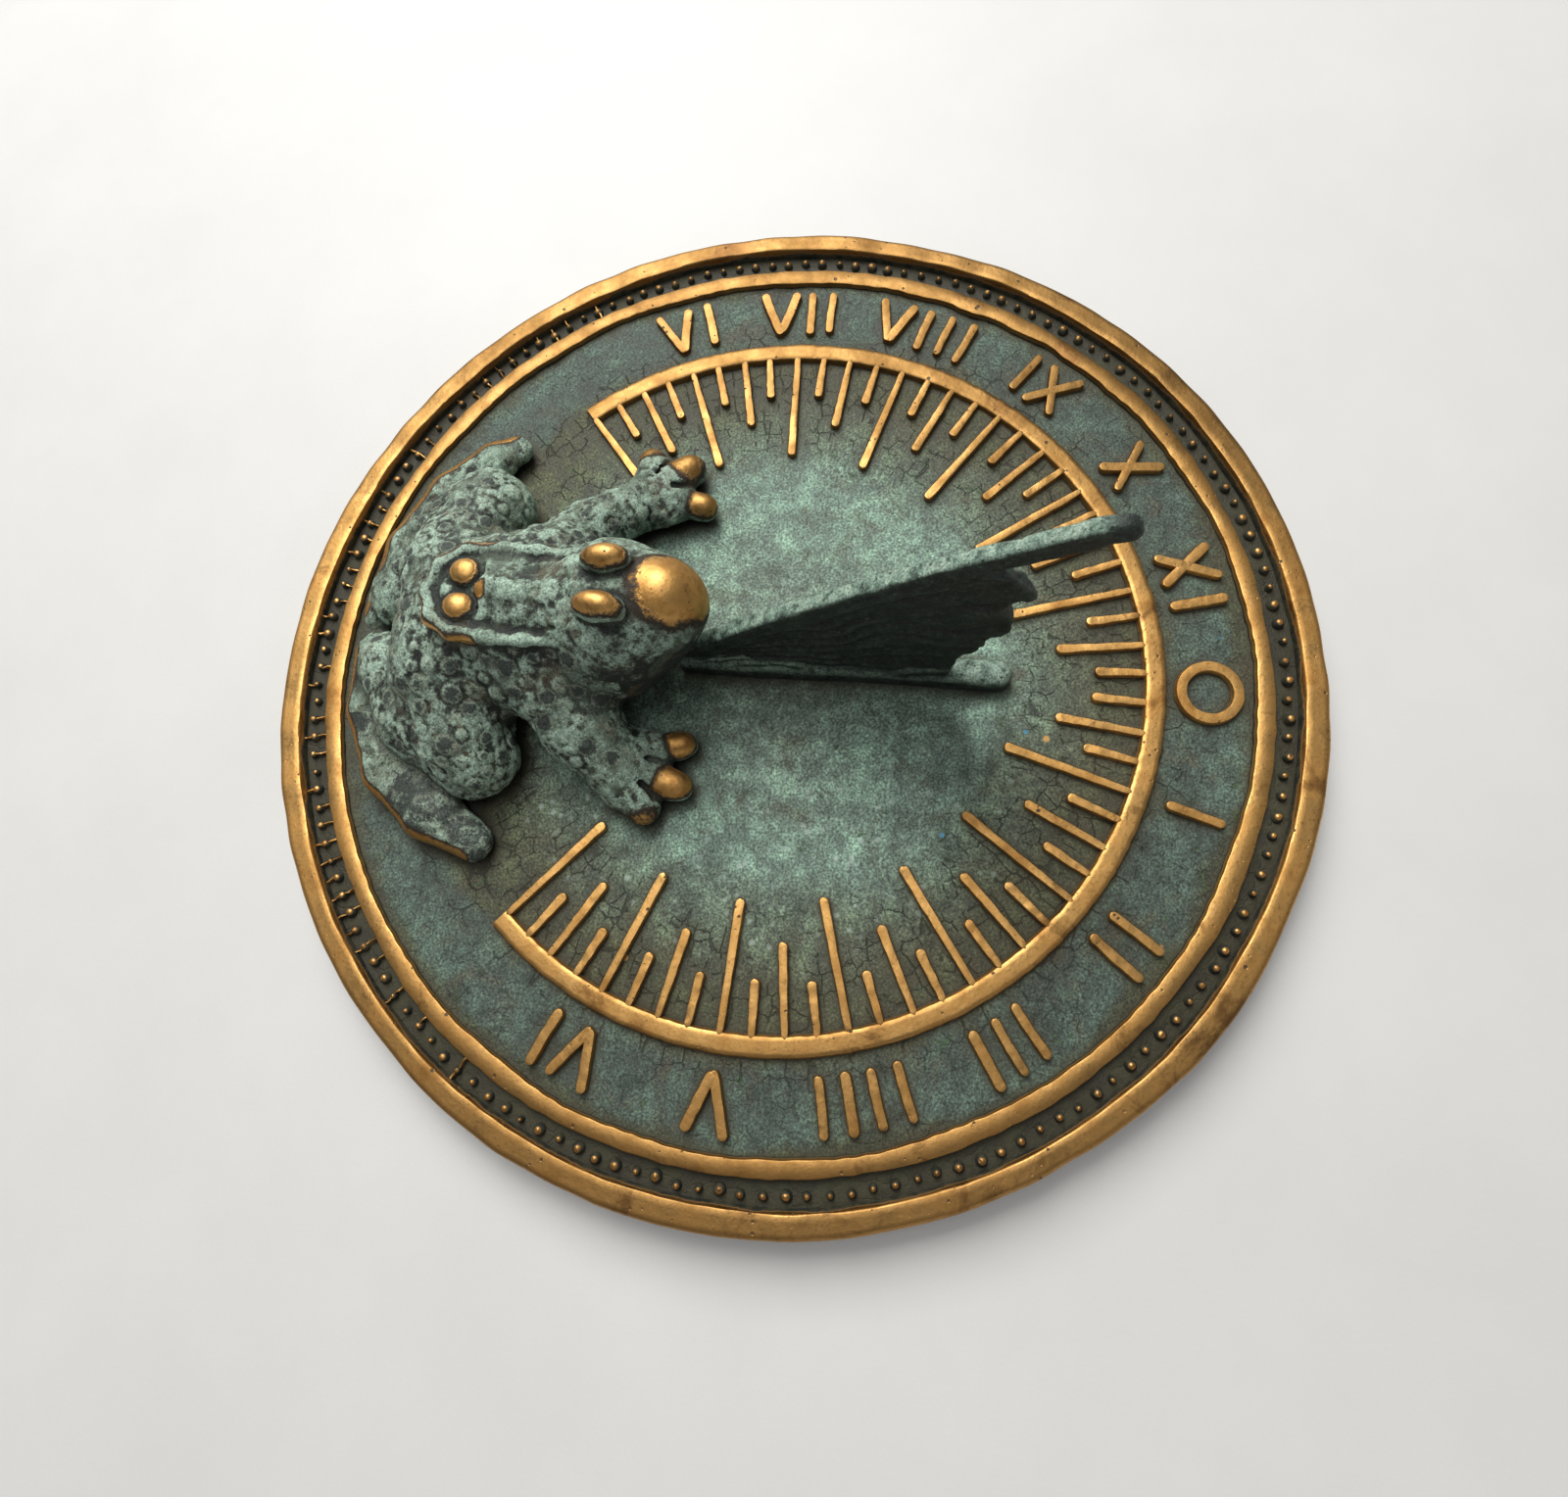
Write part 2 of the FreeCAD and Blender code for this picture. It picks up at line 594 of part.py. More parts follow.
# where the frog's joints are on its east side: across, ahead of its mouth and above the ground
JOINTS = {
    "belly": (0, -40, "Sizes.torso_lift"),
    "rump": (0, -56, 9),
    "chest": (0, "-4 - Sizes.chest_radius", 13),
    "head": (0, -11, "Sizes.head_lift"),
    "muzzle": (0, -2, "Sizes.head_lift"),
    "eye": (6.2, -11, "Sizes.head_lift + Sizes.head_radius - 4"),
    "lump": (4.5, -44, "Sizes.torso_lift + Sizes.torso_radius - 3"),
    "hip": ("(Sizes.torso_radius - 8)", -46, 10),
    "knee": (35, -43, 7.5),
    "heel": (8, "Sizes.heel_radius - Sizes.frog_length", 6),
    "sole": (49, -47, 2.5),
    "shoulder": ("(Sizes.torso_radius - 8)", -30, 11),
    "elbow": (26, -21, 8),
    "palm": (35, -10, 4.5),
    "toe_1": (29, -1, 3),
    "toe_2": (38.5, -0.5, 3),
    "toe_3": (46, -8, 3),
}


def joint(name, sign=1):
    """A joint's place on the east side, or with sign -1 on the west side."""
    across, ahead, up = JOINTS[name]
    return local(f"{sign} * {across}", ahead, up)


def frog_skin():
    """The frog's outside as a union of balls and cones, before it is cut flat where it sits."""
    head, snout = "Sizes.head_radius", "Sizes.snout_radius"
    hip, knee, heel = "Sizes.hip_radius", "Sizes.knee_radius", "Sizes.heel_radius"
    sole, arm, toe = "Sizes.sole_radius", "Sizes.arm_radius", "Sizes.toe_radius"
    shoulder = f"{arm} * {SHOULDER_SHARE}"
    parts = [
        ball("belly", joint("belly"), "Sizes.torso_radius"),
        ball("rump", joint("rump"), f"Sizes.torso_radius * {RUMP_SHARE}"),
        ball("chest", joint("chest"), "Sizes.chest_radius"),
        ball("head", joint("head"), head),
        *limb("snout", joint("head"), joint("muzzle"), head, snout),
    ]
    for side, sign in SIDES:
        at = {name: joint(name, sign) for name in JOINTS}
        parts += [
            ball(f"eye_{side}", at["eye"], "Sizes.eye_radius"),
            ball(f"lump_{side}", at["lump"], f"Sizes.eye_radius * {LUMP_SHARE}"),
            ball(f"hip_{side}", at["hip"], hip),
            *limb(f"thigh_{side}", at["hip"], at["knee"], hip, knee),
            *limb(f"shin_{side}", at["knee"], at["heel"], knee, heel),
            *limb(f"sole_{side}", at["heel"], at["sole"], sole, sole),
            ball(f"shoulder_{side}", at["shoulder"], shoulder),
            *limb(f"upper_arm_{side}", at["shoulder"], at["elbow"], shoulder, arm),
            *limb(f"forearm_{side}", at["elbow"], at["palm"], arm, arm),
        ]
        for name in ("toe_1", "toe_2", "toe_3"):
            parts += limb(f"{name}_{side}", at["palm"], at[name], toe, toe)
    return joined("frog_skin", parts)


def slab(name, low, high):
    """A box between two corners given by expressions."""
    box = doc.addObject("Part::Box", name)
    for axis, side in enumerate(("Length", "Width", "Height")):
        box.setExpression(side, f"({high[axis]}) - ({low[axis]})")
        box.setExpression(f"Placement.Base.{'xyz'[axis]}", str(low[axis]))
    return box


def frog():
    """The frog: hollow torso, flat underneath, with a slot for the gnomon and two screw bosses."""
    reach = "Sizes.dial_radius"
    below = slab("below_ground", (f"(-1 * {reach})", f"(-1 * {reach})", "(-1 * Sizes.dial_radius)"),
                 (reach, reach, GROUND))
    half_slot = "(Sizes.stem_width / 2 + Sizes.slot_clearance)"
    stem_slot = slab("stem_slot", (f"(-1 * {half_slot})", size(MOUTH, "-slot_clearance"), 0),
                     (half_slot, reach, size(GROUND, "stem_height", "slot_clearance")))
    slot = new_body("style_slot")
    sketch = new_sketch(slot, "style_slot_outline", "YZ_Plane")
    back = size(MOUTH, "-slot_clearance")
    room = "Sizes.slot_clearance * 2"
    slope = f"tan((Sizes.style_angle + {SLOT_FLARE}) * 1 deg)"
    outline(sketch, [
        (back, 0),
        (reach, 0),
        (reach, f"({GROUND} + Sizes.style_start + {room} + ({reach} - {MOUTH}) * {slope})"),
        (back, f"({GROUND} + Sizes.style_start + {room})"),
    ])
    pad(slot, sketch, size("style_width", f"({room})"), midplane=True)

    cavity = ball("cavity", joint("belly"), "(Sizes.torso_radius - Sizes.shell_thickness)")
    screws = [y for name, (y, _grip) in SCREWS.items() if name.startswith("frog")]
    bosses = fused("frog_bosses", [
        drum(f"boss_{i}", y, 0, "Sizes.frog_boss_radius", size(GROUND, "torso_radius", "torso_radius"))
        for i, y in enumerate(screws)
    ])
    hollow = cut("frog_hollow", cavity, bosses)
    thread = size("screw_radius", "thread_clearance")
    thread_top = size(GROUND, "frog_grip", "thread_relief")
    tapped = [drum(f"frog_tapped_{i}", y, 0, thread, thread_top) for i, y in enumerate(screws)]
    lines_inner = f"({BAND_INNER} - Sizes.long_tick - Sizes.line_clearance * 3)"
    over_lines = drum("over_lines", 0, 0, BAND_OUTER, size(RELIEF, "line_clearance"))
    inside_lines = drum("inside_lines", 0, 0, lines_inner, size(RELIEF, "line_clearance"))
    field = cut("line_field", over_lines, inside_lines)
    last_line = f"cos({LINES_PER_SIDE - 0.5} * Sizes.quarter_angle * 1 deg)"
    behind = slab("behind_lines", (f"(-1 * {reach})", f"(-1 * {reach})", f"-{OVERLAP}"),
                  (reach, f"(({BAND_INNER} - Sizes.long_tick / 2) * {last_line})", "Sizes.dial_radius"))
    lines = cut("line_room", field, behind)
    casting = frog_skin()
    for number, tool in enumerate([below, hollow, slot, stem_slot, lines, *tapped], start=1):
        casting = cut(f"frog_cut_{number}", casting, tool)
    return labelled(casting, "frog")


# ---------------------------------------------------------------- screws and washers
def screw(name, y, grip):
    """A slotted pan-head screw, put in from below."""
    head = drum(name + "_head", y, size(SCREW_HEAD_TOP, "-screw_head_height"),
                "Sizes.screw_head_radius", "Sizes.screw_head_height")
    shank_length = size("washer_thickness", "plate_thickness", grip)
    shank = drum(name + "_shank", y, SCREW_HEAD_TOP, "Sizes.screw_radius", shank_length)
    half = "Sizes.slot_width / 2"
    face = size(SCREW_HEAD_TOP, "-screw_head_height")
    groove = slab(
        name + "_slot",
        ("(-1 * Sizes.screw_head_radius)", size(y, f"(-1 * {half})"), face),
        ("Sizes.screw_head_radius", size(y, half), size(face, "slot_depth")),
    )
    whole = fused(name + "_blank", [head, shank])
    return labelled(cut(name + "_slotted", whole, groove), name)


def washer(name, y):
    """A split lock washer under a screw's head."""
    disc = drum(name + "_disc", y, SCREW_HEAD_TOP, "Sizes.washer_radius", "Sizes.washer_thickness")
    bore = size("screw_radius", "screw_clearance")
    eye = drum(name + "_eye", y, SCREW_HEAD_TOP, bore, "Sizes.washer_thickness")
    top = size(SCREW_HEAD_TOP, "washer_thickness")
    split = slab(
        name + "_split",
        (0, size(y, "(-1 * Sizes.washer_split / 2)"), SCREW_HEAD_TOP),
        (size("washer_radius", OVERLAP), size(y, "Sizes.washer_split / 2"), top),
    )
    return labelled(cut(name + "_ring", disc, fused(name + "_gaps", [eye, split])), name)


# ---------------------------------------------------------------- assembly
pieces = [dial_plate(), gnomon(), frog()]
for screw_name, (place, grip) in SCREWS.items():
    pieces.append(screw(screw_name, place, grip))
    pieces.append(washer(screw_name.replace("screw", "lock_washer"), place))
doc.recompute()

for thing in doc.Objects:
    if "Invalid" in thing.State or "Error" in thing.State:
        raise ValueError(f"{thing.Name} failed: {thing.State}")
for piece in pieces:
    if piece.Shape.isNull() or not piece.Shape.isValid() or not piece.Shape.Solids:
        raise ValueError(f"{piece.Label} is not a valid solid")

os.makedirs("parts", exist_ok=True)
for piece in pieces:
    piece.Shape.exportStep(f"parts/{piece.Label}.step")
    print(piece.Label, len(piece.Shape.Solids), round(piece.Shape.Volume), piece.Shape.BoundBox)
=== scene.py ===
import json
import math

import bmesh
import bpy
import numpy as np
from mathutils import Matrix, Vector

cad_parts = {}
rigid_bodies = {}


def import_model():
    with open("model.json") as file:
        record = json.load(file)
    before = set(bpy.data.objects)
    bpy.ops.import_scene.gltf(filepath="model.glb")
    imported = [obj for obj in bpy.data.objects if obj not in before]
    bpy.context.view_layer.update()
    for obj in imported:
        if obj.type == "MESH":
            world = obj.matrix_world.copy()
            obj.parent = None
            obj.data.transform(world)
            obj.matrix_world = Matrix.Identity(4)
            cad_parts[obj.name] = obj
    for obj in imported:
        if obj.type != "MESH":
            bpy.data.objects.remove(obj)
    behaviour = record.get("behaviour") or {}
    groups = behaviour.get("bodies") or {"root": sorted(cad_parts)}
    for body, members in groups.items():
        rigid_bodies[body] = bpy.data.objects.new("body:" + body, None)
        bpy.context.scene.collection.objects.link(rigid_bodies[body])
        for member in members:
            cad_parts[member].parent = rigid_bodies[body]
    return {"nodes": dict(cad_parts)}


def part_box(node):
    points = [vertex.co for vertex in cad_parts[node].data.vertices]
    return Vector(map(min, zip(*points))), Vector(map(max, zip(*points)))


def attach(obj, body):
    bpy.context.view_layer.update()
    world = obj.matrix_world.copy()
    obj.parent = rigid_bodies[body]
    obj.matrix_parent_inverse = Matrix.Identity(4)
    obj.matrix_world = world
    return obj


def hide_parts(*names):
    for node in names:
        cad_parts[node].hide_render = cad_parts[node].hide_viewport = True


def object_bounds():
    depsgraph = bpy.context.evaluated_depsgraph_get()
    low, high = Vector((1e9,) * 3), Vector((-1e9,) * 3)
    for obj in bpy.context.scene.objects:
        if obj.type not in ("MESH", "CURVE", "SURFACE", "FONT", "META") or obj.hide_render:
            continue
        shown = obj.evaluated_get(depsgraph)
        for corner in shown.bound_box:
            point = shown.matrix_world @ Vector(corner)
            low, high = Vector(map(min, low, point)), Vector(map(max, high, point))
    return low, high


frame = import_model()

cad_low, cad_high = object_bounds()

# Lengths are in millimetres until a mesh is made.
MM = 0.001

dial_low, dial_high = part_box("dial_plate")
DIAL_RADIUS = (dial_high.x - dial_low.x) / 2 / MM
RIM_TOP = dial_high.z / MM
RIM_HEIGHT = 2.5
RIM_WIDTH = 4.95
RIM_ROUNDING = 1.4
RELIEF_HEIGHT = 1.5
CHANNEL_DEPTH = 0.5
CHANNEL_WIDTH = 6.8
RING_WIDTH = 3.75
NUMERAL_MARGIN = 2.9
NUMERAL_HEIGHT = 14.0
STROKE = 2.3
BAND_MARGIN = 3.3
BAND_WIDTH = 4.65
LINE_WIDTH = 2.05
SHORT_LINE = 11.7
MEDIUM_LINE = 20.0
LONG_LINE = 29.5
QUARTER = 4.745
LINES_PER_SIDE = 28
WALL = 4.0
FOOT_WIDTH = 6.0
FOOT_BEVEL = 1.5
BOSS_RADIUS = 9.0
BOSS_HEIGHT = 4.0
THREAD_RADIUS = 2.55
THREAD_DEPTH = 6.5
SCREW_BOSS = 9.0
SCREW_HOLE = 2.3
BEADS = 160
BEAD_HEIGHT = 1.5

GROUND = RIM_TOP - RIM_HEIGHT
RELIEF_TOP = GROUND + RELIEF_HEIGHT
CHANNEL = GROUND - CHANNEL_DEPTH
RIM_INNER = DIAL_RADIUS - RIM_WIDTH
RING_OUTER = RIM_INNER - CHANNEL_WIDTH
RING_INNER = RING_OUTER - RING_WIDTH
NUMERAL_TOP = RING_INNER - NUMERAL_MARGIN
NUMERAL_FOOT = NUMERAL_TOP - NUMERAL_HEIGHT
BAND_OUTER = NUMERAL_FOOT - BAND_MARGIN
BAND_INNER = BAND_OUTER - BAND_WIDTH
BEAD_CIRCLE = (RIM_INNER + RING_OUTER) / 2

# How far raised work is sunk into what carries it, and the steps round the turned parts.
SUNK = 0.35
GROUND_STEPS = 720
RIM_STEPS = 1080


# ---- finishes ----------------------------------------------------------------------------------

class Nodes:
    """Short ways to add nodes to a tree. A value that is a socket is linked, any other is set."""

    def node(self, kind, inputs=None, **settings):
        made = self.tree.nodes.new(kind)
        for key, value in settings.items():
            setattr(made, key, value)
        for key, value in (inputs or {}).items():
            if isinstance(value, bpy.types.NodeSocket):
                self.tree.links.new(value, made.inputs[key])
            else:
                made.inputs[key].default_value = value
        return made

    def math(self, operation, *values):
        return self.node("ShaderNodeMath", dict(enumerate(values)), operation=operation).outputs[0]

    def plus(self, first, second):
        return self.math("ADD", first, second)

    def minus(self, first, second):
        return self.math("SUBTRACT", first, second)

    def times(self, first, second):
        return self.math("MULTIPLY", first, second)

    def without(self, share):
        """What the share leaves of 1."""
        return self.minus(1.0, share)

    def swing(self, value, amount):
        """A value from 0 to 1, made to swing about 0 by half the amount each way."""
        return self.times(self.minus(value, 0.5), amount)

    def blend(self, share, first, second):
        """A number the share of the way from the first to the second."""
        return self.node("ShaderNodeMix", {0: share, 2: first, 3: second}).outputs[0]

    def split(self, place):
        """The x, y and z of a place."""
        return self.node("ShaderNodeSeparateXYZ", {0: place}).outputs


class Finish(Nodes):
    """A material in the making."""

    def __init__(self, name):
        self.material = bpy.data.materials.new(name)
        self.material.use_nodes = True
        self.tree = self.material.node_tree
        self.tree.nodes.clear()
        self.place = self.node("ShaderNodeTexCoord").outputs["Object"]

    def noise(self, scale, detail=4.0, roughness=0.6, distortion=0.0):
        """Noise whose lumps are about scale millimetres across."""
        made = self.node("ShaderNodeTexNoise", {
            "Vector": self.place, "Scale": 1 / (scale * MM), "Detail": detail,
            "Roughness": roughness, "Distortion": distortion,
        })
        return made.outputs["Fac"]

    def cells(self, scale, feature="F1", place=None, output="Distance", randomness=1.0):
        made = self.node("ShaderNodeTexVoronoi", {
            "Vector": place or self.place, "Scale": 1 / (scale * MM), "Randomness": randomness,
        }, feature=feature)
        return made.outputs[output]

    def step(self, value, low, high, start=0.0, end=1.0):
        """Start below low, end above high, smooth between them."""
        made = self.node("ShaderNodeMapRange", {
            "Value": value, "From Min": low, "From Max": high, "To Min": start, "To Max": end,
        }, interpolation_type="SMOOTHSTEP")
        return made.outputs[0]

    def mix(self, share, first, second, way="MIX"):
        made = self.node("ShaderNodeMix", {0: share, 6: first, 7: second}, data_type="RGBA", blend_type=way)
        return made.outputs[2]

    def ramp(self, value, *stops):
        made = self.node("ShaderNodeValToRGB", {0: value})
        bar = made.color_ramp
        while len(bar.elements) > 1:
            bar.elements.remove(bar.elements[-1])
        bar.elements[0].position, bar.elements[0].color = stops[0][0], stops[0][1]
        for place, colour in stops[1:]:
            bar.elements.new(place).color = colour
        return made.outputs[0]

    def mark(self, name):
        """A number kept at each point of the piece."""
        return self.node("ShaderNodeAttribute", attribute_name=name).outputs["Fac"]

    def crowding(self, reach):
        """1 on open surfaces, less within reach millimetres of another surface."""
        made = self.node("ShaderNodeAmbientOcclusion", {"Distance": reach * MM}, samples=6)
        return made.outputs["AO"]

    def bump(self, height, depth, normal=None):
        inputs = {"Height": height, "Distance": depth * MM, "Strength": 1.0}
        if normal:
            inputs["Normal"] = normal
        return self.node("ShaderNodeBump", inputs).outputs[0]

    def surface(self, colour, metal, roughness, normal):
        shader = self.node("ShaderNodeBsdfPrincipled", {
            "Base Color": colour, "Metallic": metal, "Roughness": roughness, "Normal": normal,
        })
        self.node("ShaderNodeOutputMaterial", {"Surface": shader.outputs[0]})
        return self.material


def shade(red, green, blue):
    return (red, green, blue, 1.0)


def grey(value):
    return shade(value, value, value)


DARK_PATINA = shade(0.012, 0.015, 0.009)
OLIVE = shade(0.045, 0.042, 0.020)


def worn_brass(finish, place_scale=1.0):
    """Colour, metal and roughness of brass rubbed bright on cast relief, with pits and brown stains."""
    stain = finish.noise(9 * place_scale, 5, 0.62)
    grain = finish.noise(0.9, 3, 0.6)
    golden = finish.ramp(
        stain,
        (0.28, shade(0.36, 0.175, 0.048)),
        (0.44, shade(0.60, 0.335, 0.105)),
        (0.62, shade(0.68, 0.395, 0.135)),
        (0.80, shade(0.56, 0.305, 0.092)),
    )
    golden = finish.mix(finish.step(grain, 0.52, 0.72), golden, shade(0.44, 0.235, 0.072))
    # the brass is made darker towards the east, and darker towards the west as painted shade
    across = finish.split(finish.place)[0]
    golden = finish.mix(finish.step(across, 0.030, 0.120, 0.0, 0.66), golden, shade(0.28, 0.150, 0.048))
    golden = finish.mix(finish.step(across, -0.010, -0.085, 0.0, 0.74), golden, shade(0.15, 0.082, 0.027))
    smoke = finish.step(finish.noise(14 * place_scale, 6, 0.7, distortion=0.5), 0.54, 0.68, 0.0, 0.7)
    golden = finish.mix(smoke, golden, shade(0.16, 0.075, 0.026))
    pits = finish.cells(2.6)
    rare = finish.noise(5, 2, 0.5)
    size = finish.step(rare, 0.42, 0.75, 0.02, 0.17)
    pit = finish.node("ShaderNodeMapRange", {
        "Value": finish.minus(pits, size), "From Min": -0.03, "From Max": 0.05,
        "To Min": 1.0, "To Max": 0.0,
    }).outputs[0]
    golden = finish.mix(pit, golden, shade(0.07, 0.035, 0.012))
    roughness = finish.step(stain, 0.3, 0.75, 0.56, 0.38)
    return golden, pit, roughness, grain


def dial_brass():
    """Brass of the rim, ring, hour band, numerals and beads: bright on top, dark patina down the sides."""
    finish = Finish("dial_brass")
    golden, pit, roughness, grain = worn_brass(finish)
    edge = finish.noise(1.3, 4, 0.65)
    height = finish.plus(finish.mark("worn"), finish.swing(edge, 0.5))
    bright = finish.step(height, 0.34, 0.60)
    side = finish.mix(finish.step(finish.noise(2.5), 0.4, 0.6), DARK_PATINA, OLIVE)
    brown = finish.mix(finish.step(height, 0.24, 0.42), side, shade(0.17, 0.085, 0.03))
    colour = finish.mix(bright, brown, golden)
    metal = finish.times(bright, finish.without(pit))
    rough = finish.blend(bright, 0.75, roughness)
    fine = finish.bump(grain, 0.04)
    normal = finish.bump(finish.noise(3.5, 3, 0.5), 0.10, fine)
    normal = finish.bump(finish.without(pit), 0.12, normal)
    return finish.surface(colour, metal, rough, normal)


def dial_patina():
    """Mottled verdigris of the dial's ground, cracked and speckled, darker between the raised parts from dirt
    and painted shade, with painted glare in spots on the east half.
    """
    finish = Finish("dial_patina")
    parts = finish.split(finish.place)
    flat = finish.node("ShaderNodeCombineXYZ", {0: parts[0], 1: parts[1], 2: 0.0}).outputs[0]
    radius = finish.node("ShaderNodeVectorMath", {0: flat}, operation="LENGTH").outputs["Value"]
    angle = finish.math("ARCTAN2", parts[0], parts[1])
    broad = finish.noise(17, 5, 0.6)
    cloud = finish.noise(6.0, 8, 0.72)
    grit = finish.noise(0.6, 4, 0.75)
    reach = finish.plus(radius, finish.swing(broad, 0.022))
    share = finish.math("DIVIDE", reach, DIAL_RADIUS * MM)
    tone = finish.ramp(
        share,
        (0.00, shade(0.160, 0.205, 0.160)),
        (0.25, shade(0.185, 0.265, 0.210)),
        (0.40, shade(0.175, 0.255, 0.205)),
        (0.50, shade(0.110, 0.140, 0.098)),
        (0.60, shade(0.074, 0.080, 0.046)),
        (0.705, shade(0.064, 0.066, 0.034)),
        (0.735, shade(0.060, 0.082, 0.064)),
        (0.84, shade(0.072, 0.105, 0.086)),
        (0.875, shade(0.055, 0.062, 0.034)),
    )
    pale = finish.ramp(
        cloud,
        (0.30, shade(0.34, 0.35, 0.32)),
        (0.48, grey(0.92)),
        (0.62, shade(1.6, 1.68, 1.62)),
        (0.76, shade(2.3, 2.4, 2.3)),
    )
    tone = finish.mix(1.0, tone, pale, "MULTIPLY")
    umber = finish.step(finish.noise(11, 5, 0.65, distortion=0.6), 0.52, 0.70, 0.0, 0.55)
    tone = finish.mix(umber, tone, shade(0.085, 0.070, 0.040))
    moss = finish.step(finish.noise(4.2, 3, 0.5, distortion=1.0), 0.66, 0.72, 0.0, 0.75)
    tone = finish.mix(moss, tone, shade(0.045, 0.085, 0.035))
    tone = finish.mix(1.0, tone, finish.ramp(
        grit, (0.37, grey(0.34)), (0.50, grey(0.95)), (0.62, shade(1.9, 1.9, 1.85)),
    ), "MULTIPLY")
    # painted glare: white spots on the east half, a painted reflection of the lights
    spots = finish.cells(3.1)
    painted_glare = finish.times(finish.step(parts[0], 0.012, 0.040), finish.step(radius, 0.082, 0.060))
    painted_glare = finish.times(painted_glare, finish.step(spots, 0.30, 0.12))
    painted_glare = finish.times(painted_glare, finish.step(finish.noise(6), 0.40, 0.58))
    tone = finish.mix(finish.times(painted_glare, 0.6), tone, shade(0.50, 0.60, 0.54))
    # flecks of blue and of bare brass
    fleck = finish.cells(13)
    pick = finish.node("ShaderNodeSeparateColor", {0: finish.cells(13, output="Color")}).outputs
    blue = finish.times(finish.step(fleck, 0.055, 0.035), finish.step(pick[0], 0.70, 0.72))
    bare = finish.times(finish.step(fleck, 0.075, 0.05), finish.step(pick[1], 0.80, 0.82))
    tone = finish.mix(blue, tone, shade(0.10, 0.33, 0.50))
    # cracks along the circles and the rays
    bent = finish.swing(finish.noise(6, 4), 0.006)
    polar = finish.node("ShaderNodeCombineXYZ", {
        0: finish.times(angle, 0.085), 1: finish.plus(radius, bent), 2: 0.0,
    }).outputs[0]
    crackle = finish.cells(4.4, "DISTANCE_TO_EDGE", polar, randomness=0.55)
    crack = finish.step(crackle, 0.055, 0.012)
    patchy = finish.step(finish.noise(7, 3), 0.46, 0.55)
    zone = finish.times(finish.step(radius, 0.054, 0.064), finish.step(radius, 0.100, 0.092, 0.45, 1.0))
    crack = finish.times(crack, finish.times(patchy, zone))
    tone = finish.mix(finish.times(crack, 0.8), tone, shade(0.016, 0.018, 0.010))
    # the beaded channel, the wall and the underside stay dark
    channel = finish.step(radius, RING_OUTER * MM - 0.0006, RING_OUTER * MM)
    mouldy = finish.step(cloud, 0.42, 0.62)
    mould = finish.mix(mouldy, shade(0.013, 0.014, 0.007), shade(0.055, 0.060, 0.030))
    tone = finish.mix(channel, tone, mould)
    under = finish.step(parts[2], GROUND * MM - 0.0012, GROUND * MM - 0.0020)
    mottled = finish.step(cloud, 0.4, 0.62)
    below = finish.mix(mottled, shade(0.06, 0.045, 0.022), shade(0.10, 0.135, 0.10))
    tone = finish.mix(under, tone, below)
    # dirt and painted shade beside the raised parts, darkest right against them as painted shade
    near = finish.crowding(4.5)
    tone = finish.mix(finish.step(near, 0.94, 0.66, 0.0, 0.8), tone, shade(0.052, 0.043, 0.019))
    tone = finish.mix(finish.step(near, 0.66, 0.40, 0.0, 0.92), tone, shade(0.008, 0.009, 0.005))
    tone = finish.mix(bare, tone, shade(0.62, 0.38, 0.15))
    roughness = finish.step(cloud, 0.35, 0.7, 0.52, 0.78)
    normal = finish.bump(grit, 0.16)
    normal = finish.bump(cloud, 0.55, normal)
    normal = finish.bump(finish.without(crack), 0.22, normal)
    return finish.surface(tone, bare, roughness, normal)


